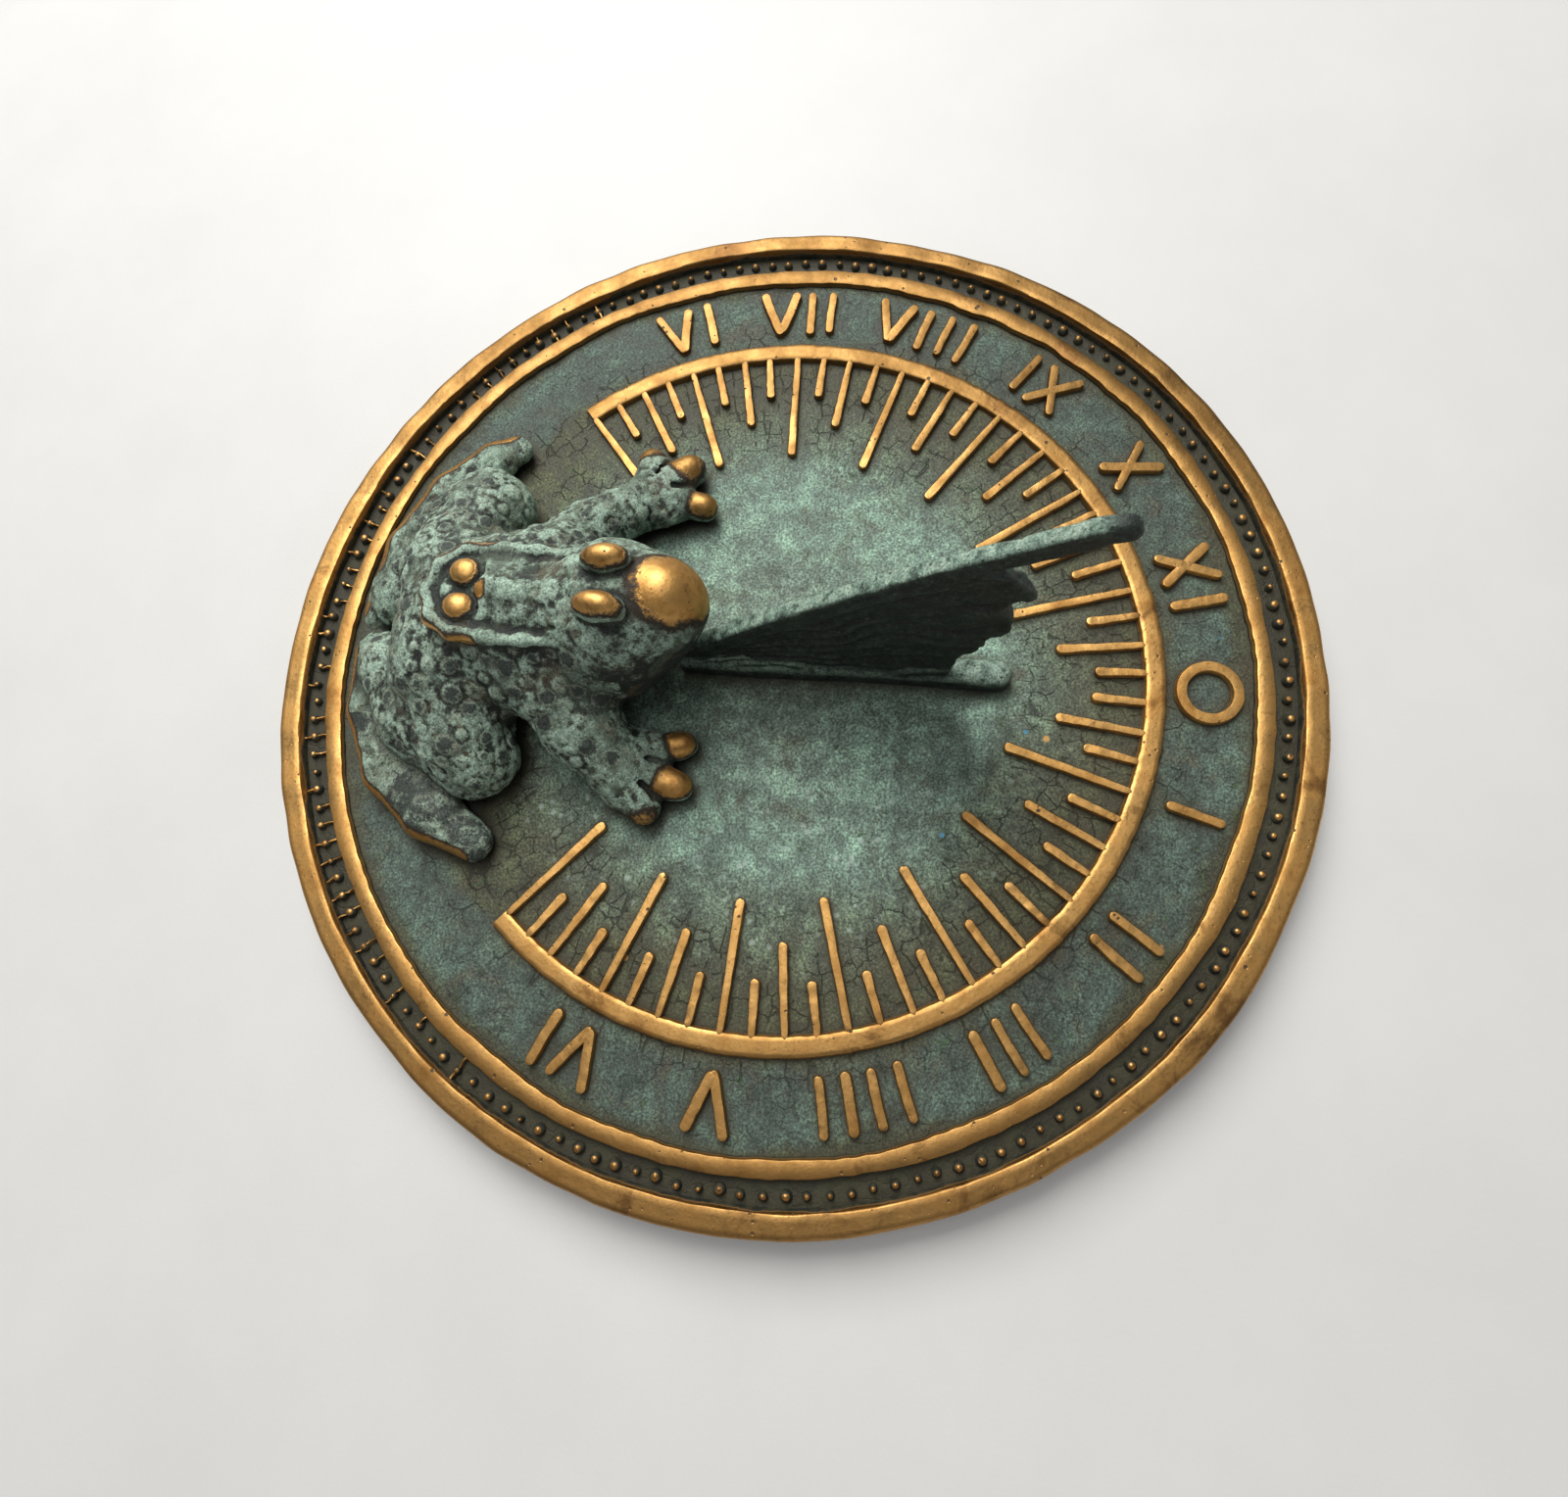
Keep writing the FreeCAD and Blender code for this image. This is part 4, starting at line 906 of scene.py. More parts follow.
def rim():
    """The raised rim and the dial's outer wall, rubbed bright, with a wavering hand-finished edge."""
    inner, outer = RIM_INNER - 0.6, DIAL_RADIUS
    arc = [(outer - RIM_ROUNDING * (1 - math.sin(t)), RIM_TOP - RIM_ROUNDING * (1 - math.cos(t)))
           for t in np.linspace(0.12, math.pi / 2, 7)]
    section = [(inner - 0.55, CHANNEL - SUNK), (inner - 0.45, CHANNEL + 0.4), (inner - 0.15, RIM_TOP - 0.5),
               (inner + 0.05, RIM_TOP - 0.12), (inner + 0.35, RIM_TOP), (inner + 1.6, RIM_TOP),
               (outer - 1.9, RIM_TOP)]
    section += arc
    section += [(outer, GROUND - 2.2), (outer - 0.15, FOOT_BEVEL + 1.2), (outer - 0.5, FOOT_BEVEL),
                (outer - 1.4, 0.6), (outer - 3.0, 0.6), (outer - 3.0, CHANNEL - SUNK)]

    def shift(radius, height, angles):
        wander = waver(angles, 5, 0.45, (2, 17)) + waver(angles, 6, 0.10, (30, 120))
        outer_wander = waver(angles, 8, 0.38, (3, 14)) + waver(angles, 9, 0.09, (18, 60)) - 0.12
        outer_wander = np.minimum(outer_wander, 0.0)
        share = np.clip((radius - inner) / (outer - inner), 0, 1)
        share = np.where(height < CHANNEL - 2, np.maximum(share, 0.9), share)
        radius = radius + share * outer_wander + (1 - share) * wander * 0.5
        level = np.where(height > RIM_TOP - 1.2, waver(angles, 7, 0.10, (3, 60)), 0)
        return radius, height + level - np.where(height > RIM_TOP - 1.2, 0.12, 0)

    def mark(points):
        radius = np.hypot(points[:, 0], points[:, 1])
        inside = radius < inner + 0.9
        up = np.interp(points[:, 2], [CHANNEL + 0.5, RIM_TOP - 0.9, RIM_TOP - 0.4], [0, 0.25, 1.0])
        wall = np.interp(points[:, 2], [1.0, 3.5, 6.5], [0.0, 0.45, 0.95])
        return np.where(inside, up, wall)

    return turned("rim", section, RIM_STEPS, BRASS, shift, mark)


def ring():
    """The raised ring between the channel and the numerals."""
    inner, outer = RING_INNER, RING_OUTER
    section = [(inner - 0.45, GROUND - SUNK), (inner - 0.3, GROUND + 0.3), (inner - 0.1, RELIEF_TOP - 0.4),
               (inner + 0.05, RELIEF_TOP - 0.1), (inner + 0.3, RELIEF_TOP), (outer - 0.3, RELIEF_TOP),
               (outer - 0.05, RELIEF_TOP - 0.1), (outer + 0.1, RELIEF_TOP - 0.4),
               (outer + 0.4, CHANNEL + 0.4), (outer + 0.5, CHANNEL - SUNK)]
    middle = (inner + outer) / 2

    def shift(radius, height, angles):
        inner_edge = waver(angles, 15, 0.30, (3, 24)) + waver(angles, 16, 0.09, (50, 180))
        outer_edge = waver(angles, 17, 0.22, (3, 30)) + waver(angles, 18, 0.09, (50, 180))
        west = np.exp(-((angles - math.radians(296)) / 0.30) ** 2)
        inner_edge = inner_edge - 0.9 * west * (0.6 + 0.4 * np.sin(angles * 46))
        radius = radius + np.where(radius < middle, inner_edge, outer_edge)
        return radius, height + np.where(height > RELIEF_TOP - 0.8, waver(angles, 19, 0.06, (3, 70)), 0)

    def mark(points):
        return np.interp(points[:, 2], [GROUND + 0.1, GROUND + 0.6, RELIEF_TOP - 0.4], [0, 0.5, 1.0])

    return turned("ring", section, RIM_STEPS, BRASS, shift, mark)


def hour_band():
    """The band that carries the hour lines, open behind the frog."""
    reach = QUARTER * (LINES_PER_SIDE - 0.5) + 0.45
    middle = (BAND_OUTER + BAND_INNER) / 2
    line = [on_dial(a, middle) for a in np.linspace(-reach, reach, 520)]
    return gathered("hour_band", [rib_points(line, BAND_WIDTH, 41, blunt=True, wobble=0.13)], BRASS)


# Each numeral's strokes as (angle at the foot, angle at the top), in degrees from noon.
NUMERAL_STROKES = [
    (16.6, 16.6),
    (33.6, 33.7), (37.5, 37.6),
    (51.3, 51.4), (54.6, 54.6), (57.9, 57.8),
    (68.3, 68.3), (71.8, 71.8), (75.2, 75.2), (78.7, 78.7),
    (92.5, 90.1), (92.5, 94.9),
    (110.1, 107.7), (110.1, 112.5), (115.1, 115.0),
    (-12.7, -12.9), (-20.6, -15.9), (-16.0, -20.5),
    (-37.4, -32.6), (-32.8, -37.3),
    (-56.4, -56.1), (-53.9, -48.9), (-49.0, -53.7),
    (-66.6, -66.5), (-69.8, -69.8), (-73.1, -73.0), (-77.9, -75.5), (-77.9, -80.2),
    (-87.6, -87.7), (-90.7, -90.8), (-95.4, -93.0), (-95.4, -97.9),
    (-106.4, -106.6), (-111.6, -109.3), (-111.6, -114.0),
]
# The noon ring's middle and radius, and the width of its bar.
NOON_RING = (101.0, 6.35)
NOON_WIDTH = 2.5


def numerals():
    """The hour numerals, tops outward, with a plain ring at noon."""
    parts = []
    random = np.random.default_rng(52)
    inset = STROKE / 2
    for number, (foot, top) in enumerate(NUMERAL_STROKES):
        jitter = random.uniform(-0.5, 0.5, 2)
        start = np.array(on_dial(foot, NUMERAL_FOOT + inset * 0.4 + jitter[0]))
        end = np.array(on_dial(top, NUMERAL_TOP - inset * 0.4 + jitter[1]))
        bow = np.array([end[1] - start[1], start[0] - end[0]])
        bow = bow / np.linalg.norm(bow) * random.uniform(-0.22, 0.22)
        line = [start + (end - start) * t + bow * math.sin(math.pi * t) for t in np.linspace(0, 1, 9)]
        width = STROKE * random.uniform(0.9, 1.12)
        parts.append(rib_points(line, width, 60 + number, wobble=0.10))
    middle, reach = NOON_RING
    turns = np.linspace(0, 2 * math.pi, 64)[:-1]
    circle = [(reach * math.cos(turn), middle + reach * math.sin(turn)) for turn in turns]
    parts.append(rib_points(circle, NOON_WIDTH, 99, closed=True, wobble=0.08))
    return gathered("numerals", parts, BRASS)


# ---- clay: modelled shapes ---------------------------------------------------------------------

class Clay:
    """A block sampled on a grid, negative inside the shape. Each touch adds or carves near itself only."""

    def __init__(self, low, high, cell):
        self.low, self.cell = np.array(low, float), cell
        counts = np.ceil((np.array(high) - self.low) / cell).astype(int) + 1
        self.axes = [self.low[i] + cell * np.arange(counts[i]) for i in range(3)]
        self.field = np.full(counts, 12.0, np.float32)

    def near(self, low, high):
        cut = []
        for i in range(3):
            first = int((low[i] - self.low[i]) / self.cell)
            last = int((high[i] - self.low[i]) / self.cell) + 2
            cut.append(slice(max(0, first), max(0, min(len(self.axes[i]), last))))
        grids = []
        for i in range(3):
            form = [1, 1, 1]
            form[i] = -1
            grids.append(self.axes[i][cut[i]].reshape(form).astype(np.float32))
        return tuple(cut), grids

    def touch(self, cut, shape, soft, carve):
        now = self.field[cut]
        sign = -1.0 if carve else 1.0
        a, b = sign * now, shape
        share = np.maximum(soft - np.abs(a - b), 0) / soft
        self.field[cut] = sign * (np.minimum(a, b) - share * share * soft * 0.25)

    def ball(self, centre, radii, soft=3.0, carve=False, spin=0.0, dip=0.0):
        """An egg, spun about the upright axis and dipped about the x axis, in degrees."""
        centre = np.array(centre, float)
        radii = np.array([radii] * 3 if np.isscalar(radii) else radii, float)
        room = radii.max() + soft + 2
        cut, (x, y, z) = self.near(centre - room, centre + room)
        spun, dipped = (Matrix.Rotation(math.radians(a), 3, axis) for a, axis in ((spin, "Z"), (dip, "X")))
        turn = np.array(spun @ dipped)
        x, y, z = x - centre[0], y - centre[1], z - centre[2]
        local = [turn[0, i] * x + turn[1, i] * y + turn[2, i] * z for i in range(3)]
        near = np.sqrt(sum((local[i] / radii[i]) ** 2 for i in range(3))) + 1e-6
        steep = np.sqrt(sum((local[i] / radii[i] ** 2) ** 2 for i in range(3))) + 1e-6
        self.touch(cut, near * (near - 1) / steep, soft, carve)

    def limb(self, path, soft=3.0, carve=False, flat=1.0):
        """A limb through (x, y, z, radius) points. Flat below 1 makes it lower than it is wide."""
        for start, end in zip(path, path[1:]):
            a, b = np.array(start[:3], float), np.array(end[:3], float)
            room = max(start[3], end[3]) + soft + 2
            cut, (x, y, z) = self.near(np.minimum(a, b) - room, np.maximum(a, b) + room)
            span = b - a
            x, y, z = x - a[0], y - a[1], z - a[2]
            t = np.clip((x * span[0] + y * span[1] + z * span[2]) / (span @ span), 0, 1)
            x, y, z = x - t * span[0], y - t * span[1], (z - t * span[2]) / flat
            away = np.sqrt(x ** 2 + y ** 2 + z ** 2)
            self.touch(cut, away - (start[3] + t * (end[3] - start[3])), soft, carve)

    def flat_bottom(self, level):
        self.field = np.maximum(self.field, (level - self.axes[2]).reshape(1, 1, -1).astype(np.float32))

    def skin(self):
        """Points and four-cornered faces of the shape's surface."""
        field = self.field
        shape = np.array(field.shape) - 1
        inside = field < 0
        total = np.zeros((int(np.prod(shape)), 3))
        hits = np.zeros(int(np.prod(shape)))
        quads = []
        for axis in range(3):
            one, two = [slice(None)] * 3, [slice(None)] * 3
            one[axis], two[axis] = slice(0, -1), slice(1, None)
            crossed = np.argwhere(inside[tuple(one)] != inside[tuple(two)])
            step = np.zeros(3, int)
            step[axis] = 1
            a = field[tuple(crossed.T)]
            b = field[tuple((crossed + step).T)]
            spot = crossed + np.outer(a / (a - b), step)
            others = [k for k in range(3) if k != axis]
            corners = []
            for u, v in ((0, 0), (-1, 0), (-1, -1), (0, -1)):
                cell = crossed.copy()
                cell[:, others[0]] += u
                cell[:, others[1]] += v
                index = (cell[:, 0] * shape[1] + cell[:, 1]) * shape[2] + cell[:, 2]
                corners.append(index)
                for k in range(3):
                    total[:, k] += np.bincount(index, spot[:, k], len(total))
                hits += np.bincount(index, minlength=len(hits))
            quad = np.stack(corners, axis=1)
            flip = (a < 0) == (axis != 1)
            quad[flip] = quad[flip][:, ::-1]
            quads.append(quad[:, ::-1])
        used = np.flatnonzero(hits)
        number = np.full(len(hits), -1)
        number[used] = np.arange(len(used))
        points = self.low + total[used] / hits[used][:, None] * self.cell
        return points, number[np.concatenate(quads)]


def neighbour_mean(values, quads):
    """Each point's mean over its neighbours."""
    one = quads.T.ravel()
    two = np.roll(quads, -1, axis=1).T.ravel()
    size = len(values)
    count = np.bincount(one, minlength=size) + np.bincount(two, minlength=size)
    total = [np.bincount(one, column[two], size) + np.bincount(two, column[one], size) for column in values.T]
    return np.stack(total, axis=1) / count[:, None]


def outward(points, quads):
    """Unit normals at the points."""
    a, b, c, d = (points[quads[:, k]] for k in range(4))
    face = np.cross(c - a, d - b)
    total = np.stack([
        sum(np.bincount(quads[:, k], face[:, i], len(points)) for k in range(4)) for i in range(3)
    ], axis=1)
    return total / (np.linalg.norm(total, axis=1, keepdims=True) + 1e-12)


def hollows(points, quads, normals, passes):
    """How far each point lies below its smoothed surroundings, in millimetres."""
    smooth = points
    for _ in range(passes):
        smooth = neighbour_mean(smooth, quads)
    return ((smooth - points) * normals).sum(axis=1)


FROG_CELL = 0.56
GNOMON_CELL = 0.36
WARTS = 210
WART_GAP = 3.9
WART_TRIES = 12001


def frog():
    """The frog, crouched across the noon line with the gnomon in its mouth."""
    clay = Clay((-59, -112.5, 7.6), (59, -7.5, 57), FROG_CELL)
    # body
    clay.ball((-1.0, -61, 22), (21.5, 24, 19.5), 4)
    clay.ball((0, -75, 21), (18, 14, 16.5), 5)
    clay.ball((0, -42, 24), (18.5, 14, 17), 5)
    clay.ball((0, -57, 36), (12.5, 18, 9.3), 4)
    # head and face
    clay.ball((-0.4, -33.5, 34.0), (16.2, 17.0, 15.6), 5)
    clay.ball((5.5, -36.0, 27), (10.5, 12.0, 14), 4)
    clay.ball((-5.5, -36.0, 27), (10.5, 12.0, 14), 4)
    clay.ball((-0.8, -21.4, 40.8), (8.8, 9.6, 10.2), 6)
    clay.limb([(0, -23.5, 37, 8.0), (0, -30, 20, 8.0)], 5)
    # legs: haunch, shank, then the long foot outside it
    clay.limb([(12, -76, 23, 13.0), (26, -71, 18, 9.8), (30.5, -67.5, 15.5, 8.6)], 5)
    clay.limb([(32, -70, 14, 8.6), (23, -84, 14, 9.5), (9, -95, 14, 8.5)], 4)
    clay.limb([(-12, -78, 23, 13.0), (-29, -76, 19, 10.0), (-32.5, -74, 18.0, 9.0)], 4)
    clay.limb([(-34, -76, 17, 9.0), (-24, -87, 16, 9.5), (-9, -95, 15, 8.5)], 3)
    feet = [
        [(5.5, -101.5, 11.6, 5.8), (20, -99.3, 11.6, 6.4), (34.5, -91, 11.8, 7.2),
         (44.5, -79.0, 11.8, 6.8), (50.4, -67.6, 11.4, 4.6)],
        [(-5.5, -102.0, 11.6, 5.4), (-24, -100.0, 11.6, 5.6), (-40.5, -91.5, 11.8, 5.6),
         (-50.3, -81, 11.8, 5.4), (-54.0, -75.8, 11.6, 4.2)],
    ]
    for foot in feet:
        clay.limb(foot, 1.6, flat=0.72)
    # arms and hands
    clay.limb([(11, -52, 26, 11.0), (22.5, -42.5, 20, 8.4), (28.5, -35, 16.0, 7.6)], 4)
    clay.ball((30.6, -30.5, 13.8), (10.2, 8.4, 5.8), 3, spin=-25)
    clay.limb([(26.5, -29, 13.6, 3.6), (23.9, -22.0, 12.8, 3.0), (23.2, -19.8, 12.6, 3.2)], 1.8)
    clay.limb([(31, -28, 14.0, 4.0), (32.8, -22.0, 13.2, 3.5), (33.2, -19.8, 13.0, 3.6)], 1.8)
    clay.limb([(33.5, -31, 13.4, 4.4), (37.5, -28.5, 12.8, 4.0), (39.2, -27.2, 12.6, 3.8)], 1.8)
    clay.limb([(-13, -54, 27, 10.0), (-27.0, -48.5, 20, 6.8), (-37, -39.5, 15.5, 6.2)], 4)
    clay.ball((-42.4, -33.6, 13.6), (9.4, 8.4, 5.6), 3, spin=30)
    clay.limb([(-40.5, -30.5, 13.4, 3.4), (-39.6, -24.0, 12.8, 3.0), (-39.4, -22.4, 12.6, 3.2)], 1.8)
    clay.limb([(-44.5, -31.5, 13.8, 4.0), (-48.4, -28.4, 13.2, 3.7), (-49.6, -27.4, 13.0, 3.8)], 1.8)
    clay.limb([(-45.5, -36, 13.4, 4.2), (-50.0, -37.4, 12.6, 3.8), (-51.6, -37.8, 12.4, 3.6)], 1.8)
    # grooves between the fingers
    for groove in (
        [(28.2, -20, 15.5, 1.0), (28.4, -27, 18.2, 0.6)],
        [(36.6, -24.0, 15.5, 1.0), (32.8, -29, 18.4, 0.6)],
        [(-44.2, -24.5, 15.5, 1.0), (-42.2, -30, 18.0, 0.6)],
        [(-51.0, -32.5, 15.5, 1.0), (-45, -34.5, 18.0, 0.6)],
    ):
        clay.limb(groove, 1.0, carve=True)
    # back: a long raised loop with a groove on each side of it
    loop = [(10.0, -42, 41.6, 0.7), (10.4, -50, 42.0, 1.1), (10.3, -58, 42.0, 1.4), (9.4, -66, 41.6, 1.9),
            (6.0, -71.5, 40.8, 2.2), (0, -73.6, 40.4, 2.2)]
    for side in (1, -1):
        clay.limb([(side * x, y, z, r) for x, y, z, r in loop], 1.6)
        inside = [(side * x * 0.78, y + 1.6 * (y < -66), z + 2.3, 0.6 if y < -44 else 0.2)
                  for x, y, z, r in loop]
        outside = [(side * (x + 2.6), y - 2.0 * (y < -66), z - 1.4, 0.6) for x, y, z, r in loop[1:]]
        clay.limb(inside, 1.2, carve=True)
        clay.limb(outside, 1.4, carve=True)
    clay.limb([(0, -41, 44.0, 1.6), (0, -58, 44.2, 1.4)], 3)
    # the two bumps at the end of the back, in a groove of their own
    for side in (1, -1):
        clay.ball((side * 3.9, -65.0, 44.0), (4.3, 4.6, 2.5), 1.4, carve=True)
        clay.ball((side * 4.0, -65.2, 41.8), (3.6, 4.1, 3.3), 0.6)
    clay.ball((0.6, -60.0, 43.8), (1.5, 1.3, 1.5), 0.8)
    # eyes in their sockets, with a pit outside each
    for side in (1, -1):
        clay.ball((side * 6.0, -31.6, 51.4), (4.3, 6.4, 2.6), 1.6, carve=True, spin=-6 * side)
        clay.ball((side * 5.2, -31.8, 49.9), (3.2, 5.6, 4.5), 0.5, spin=-5 * side)
        clay.ball((side * 9.2, -29.0, 47.6), (1.5, 3.6, 1.5), 1.6, carve=True, spin=-14 * side)
    clay.flat_bottom(GROUND - 0.3)
    points, quads = clay.skin()
    normals = outward(points, quads)

    # which places are rubbed through to brass
    rub = np.zeros(len(points))
    rubbed = [((-1.2, -17.4, 48.6), (6.9, 7.4, 6.0), 1.0), ((-2.0, -13.6, 45.0), (5.6, 5.0, 6.0), 0.9)]
    for side in (1, -1):
        rubbed.append(((side * 5.2, -31.8, 53.4), (2.7, 5.0, 2.4), 0.86))
        rubbed.append(((side * 4.0, -65.2, 44.8), (3.0, 3.4, 2.0), 0.84))
    rubbed += [
        ((0.6, -60.0, 45.0), (1.8, 1.5, 1.5), 0.9),
        ((23.5, -20.0, 14.8), (2.8, 3.4, 2.2), 1.0), ((33.0, -20.6, 15.4), (3.2, 4.2, 2.4), 1.0),
        ((40.6, -27.0, 13.0), (3.2, 3.4, 3.2), 0.60), ((-39.5, -22.6, 14.6), (2.8, 3.8, 2.4), 1.0),
        ((-49.0, -28.6, 15.2), (4.2, 3.8, 2.8), 1.0), ((-52.4, -38.6, 13.6), (3.0, 3.6, 3.2), 0.7),
    ]
    for centre, radii, strength in rubbed:
        away = np.sqrt((((points - centre) / radii) ** 2).sum(axis=1))
        rub = np.maximum(rub, strength * np.clip((1.75 - away) / 1.1, 0, 1))
    rump = [(11.4, -62, 41.8), (10.4, -69.0, 41.4), (6.6, -73.4, 40.8), (0, -75.6, 40.4),
            (-6.6, -73.4, 40.8), (-10.4, -69.0, 41.4), (-11.4, -60, 41.8)]
    east_edge = [(5.8, -106.2, 13.0), (22.5, -104.2, 13.2), (39.0, -95.8, 13.6), (50.0, -82.6, 13.6),
                 (54.6, -69.4, 12.8)]
    west_edge = [(-5.8, -106.2, 13.4), (-26, -104.2, 13.6), (-44.2, -94.6, 14.0), (-54.2, -83.4, 14.2),
                 (-57.2, -77.0, 13.8)]
    edges = [(rump, 1.7, 0.74), (east_edge, 2.1, 0.72), (west_edge, 2.0, 0.95)]
    for path, reach, strength in edges:
        for start, end in zip(path, path[1:]):
            away = beside(points, start, end)[1] / reach
            rub = np.maximum(rub, strength * np.clip((1.6 - away) / 0.9, 0, 1))

    # warts on the limbs and flanks
    random = np.random.default_rng(77)
    order = random.permutation(len(points))
    x, y, z = points.T
    allowed = (z > 13) & (z < 41) & (rub < 0.15) & (normals[:, 2] > -0.1)
    allowed &= ~((y > -40) & (np.abs(x) < 17)) & (y < -33)
    on_foot = np.zeros(len(points), bool)
    for foot in feet:
        for start, end in zip(foot, foot[1:]):
            place, away = beside(points, start[:3], end[:3])
            on_foot |= away < start[3] + place * (end[3] - start[3]) + 0.6
    allowed &= ~on_foot
    # the east foot is made dark and patchy through the wart mark
    dark_east_foot = on_foot & (x > 22)
    chosen = []
    for index in order[:WART_TRIES]:
        if allowed[index] and all(np.sum((points[index] - points[c]) ** 2) > WART_GAP ** 2 for c in chosen):
            chosen.append(index)
            if len(chosen) == WARTS:
                break
    wart = np.zeros(len(points))
    rise = np.zeros(len(points))
    for index in chosen:
        size = random.uniform(1.2, 2.5)
        away = np.linalg.norm(points - points[index], axis=1) / size
        bump = np.clip(1 - away ** 2, 0, 1)
        moat = np.exp(-((away - 1.15) / 0.22) ** 2)
        tall = random.uniform(0.3, 1.0)
        rise = rise + tall * (0.40 * bump - 0.16 * moat)
        wart = np.maximum(wart, np.sqrt(np.clip(1.1 - away, 0, 1)) * random.uniform(0.2, 0.95))
    dark_patches = 0.42 + 0.34 * lumps(points, 5.0, 74) + 0.16 * lumps(points, 2.0, 75)
    wart = np.where(dark_east_foot, np.maximum(wart, dark_patches), wart)
    calm = 1 - np.clip(rub * 1.6, 0, 1)
    smooth_head = np.clip((y + 40) / 6, 0, 1) * (np.abs(x) < 19) * (z > 14)
    rise = rise * calm * (z > GROUND + 0.6)
    skin = lumps(points, 5.0, 71) * 0.34 + lumps(points, 2.3, 72) * 0.26 + lumps(points, 1.2, 73) * 0.16
    mirrored = np.column_stack([np.abs(points[:, 0]), points[:, 1:]])
    by_loop = np.full(len(points), 9.0)
    for start, end in zip(loop, loop[1:]):
        by_loop = np.minimum(by_loop, beside(mirrored, start[:3], end[:3])[1])
    skin = skin * np.interp(by_loop, [2.0, 4.5], [0.35, 1.0])
    rise = rise + skin * (0.12 + 0.88 * calm) * (1 - 0.5 * smooth_head)
    points = points + normals * rise[:, None]
    points[:, 2] = np.maximum(points[:, 2], GROUND - 0.3)
    normals = outward(points, quads)
    hollow = hollows(points, quads, normals, 10) * 2.4
    # painted shade under the chin, and darker low on the limbs
    chin = (points[:, 1] > -36) & (np.abs(points[:, 0]) < 16) & (points[:, 2] > 13)
    hollow += 1.10 * chin * np.clip((42 - points[:, 2]) / 11, 0, 1)
    hollow += 0.15 * np.clip((19 - points[:, 2]) / 8, 0, 1) * ~chin
    hollow = np.clip(hollow, -1, 1)
    return piece("frog_skin", points, quads, FROG_PATINA, sharp=0, rub=rub, wart=wart, hollow=hollow,
                 pale=np.zeros(len(points)))


# The style's upper edge and the blade's ragged outline, as (y, z) above the ring.
STYLE_TOP = [(-22.0, 7.4), (-19.7, 9.5), (-13.9, 15.4), (-4.8, 24.2), (4.5, 32.4), (14.9, 40.9),
             (24.2, 48.6), (34.2, 56.5), (43.3, 62.8), (51.4, 68.6), (57.7, 72.8), (59.6, 73.8)]
BLADE_EDGE = [(40.5, 58.6), (43.4, 56.6), (46.5, 55.0), (49.2, 52.0), (52.8, 46.2), (52.0, 44.2),
              (50.2, 44.6), (47.8, 41.4), (49.6, 38.6), (50.8, 34.8), (50.6, 31.4), (48.4, 29.4),
              (46.6, 25.0), (46.8, 21.6), (44.8, 18.8), (42.6, 14.6), (42.2, 10.4), (40.4, 4.0)]


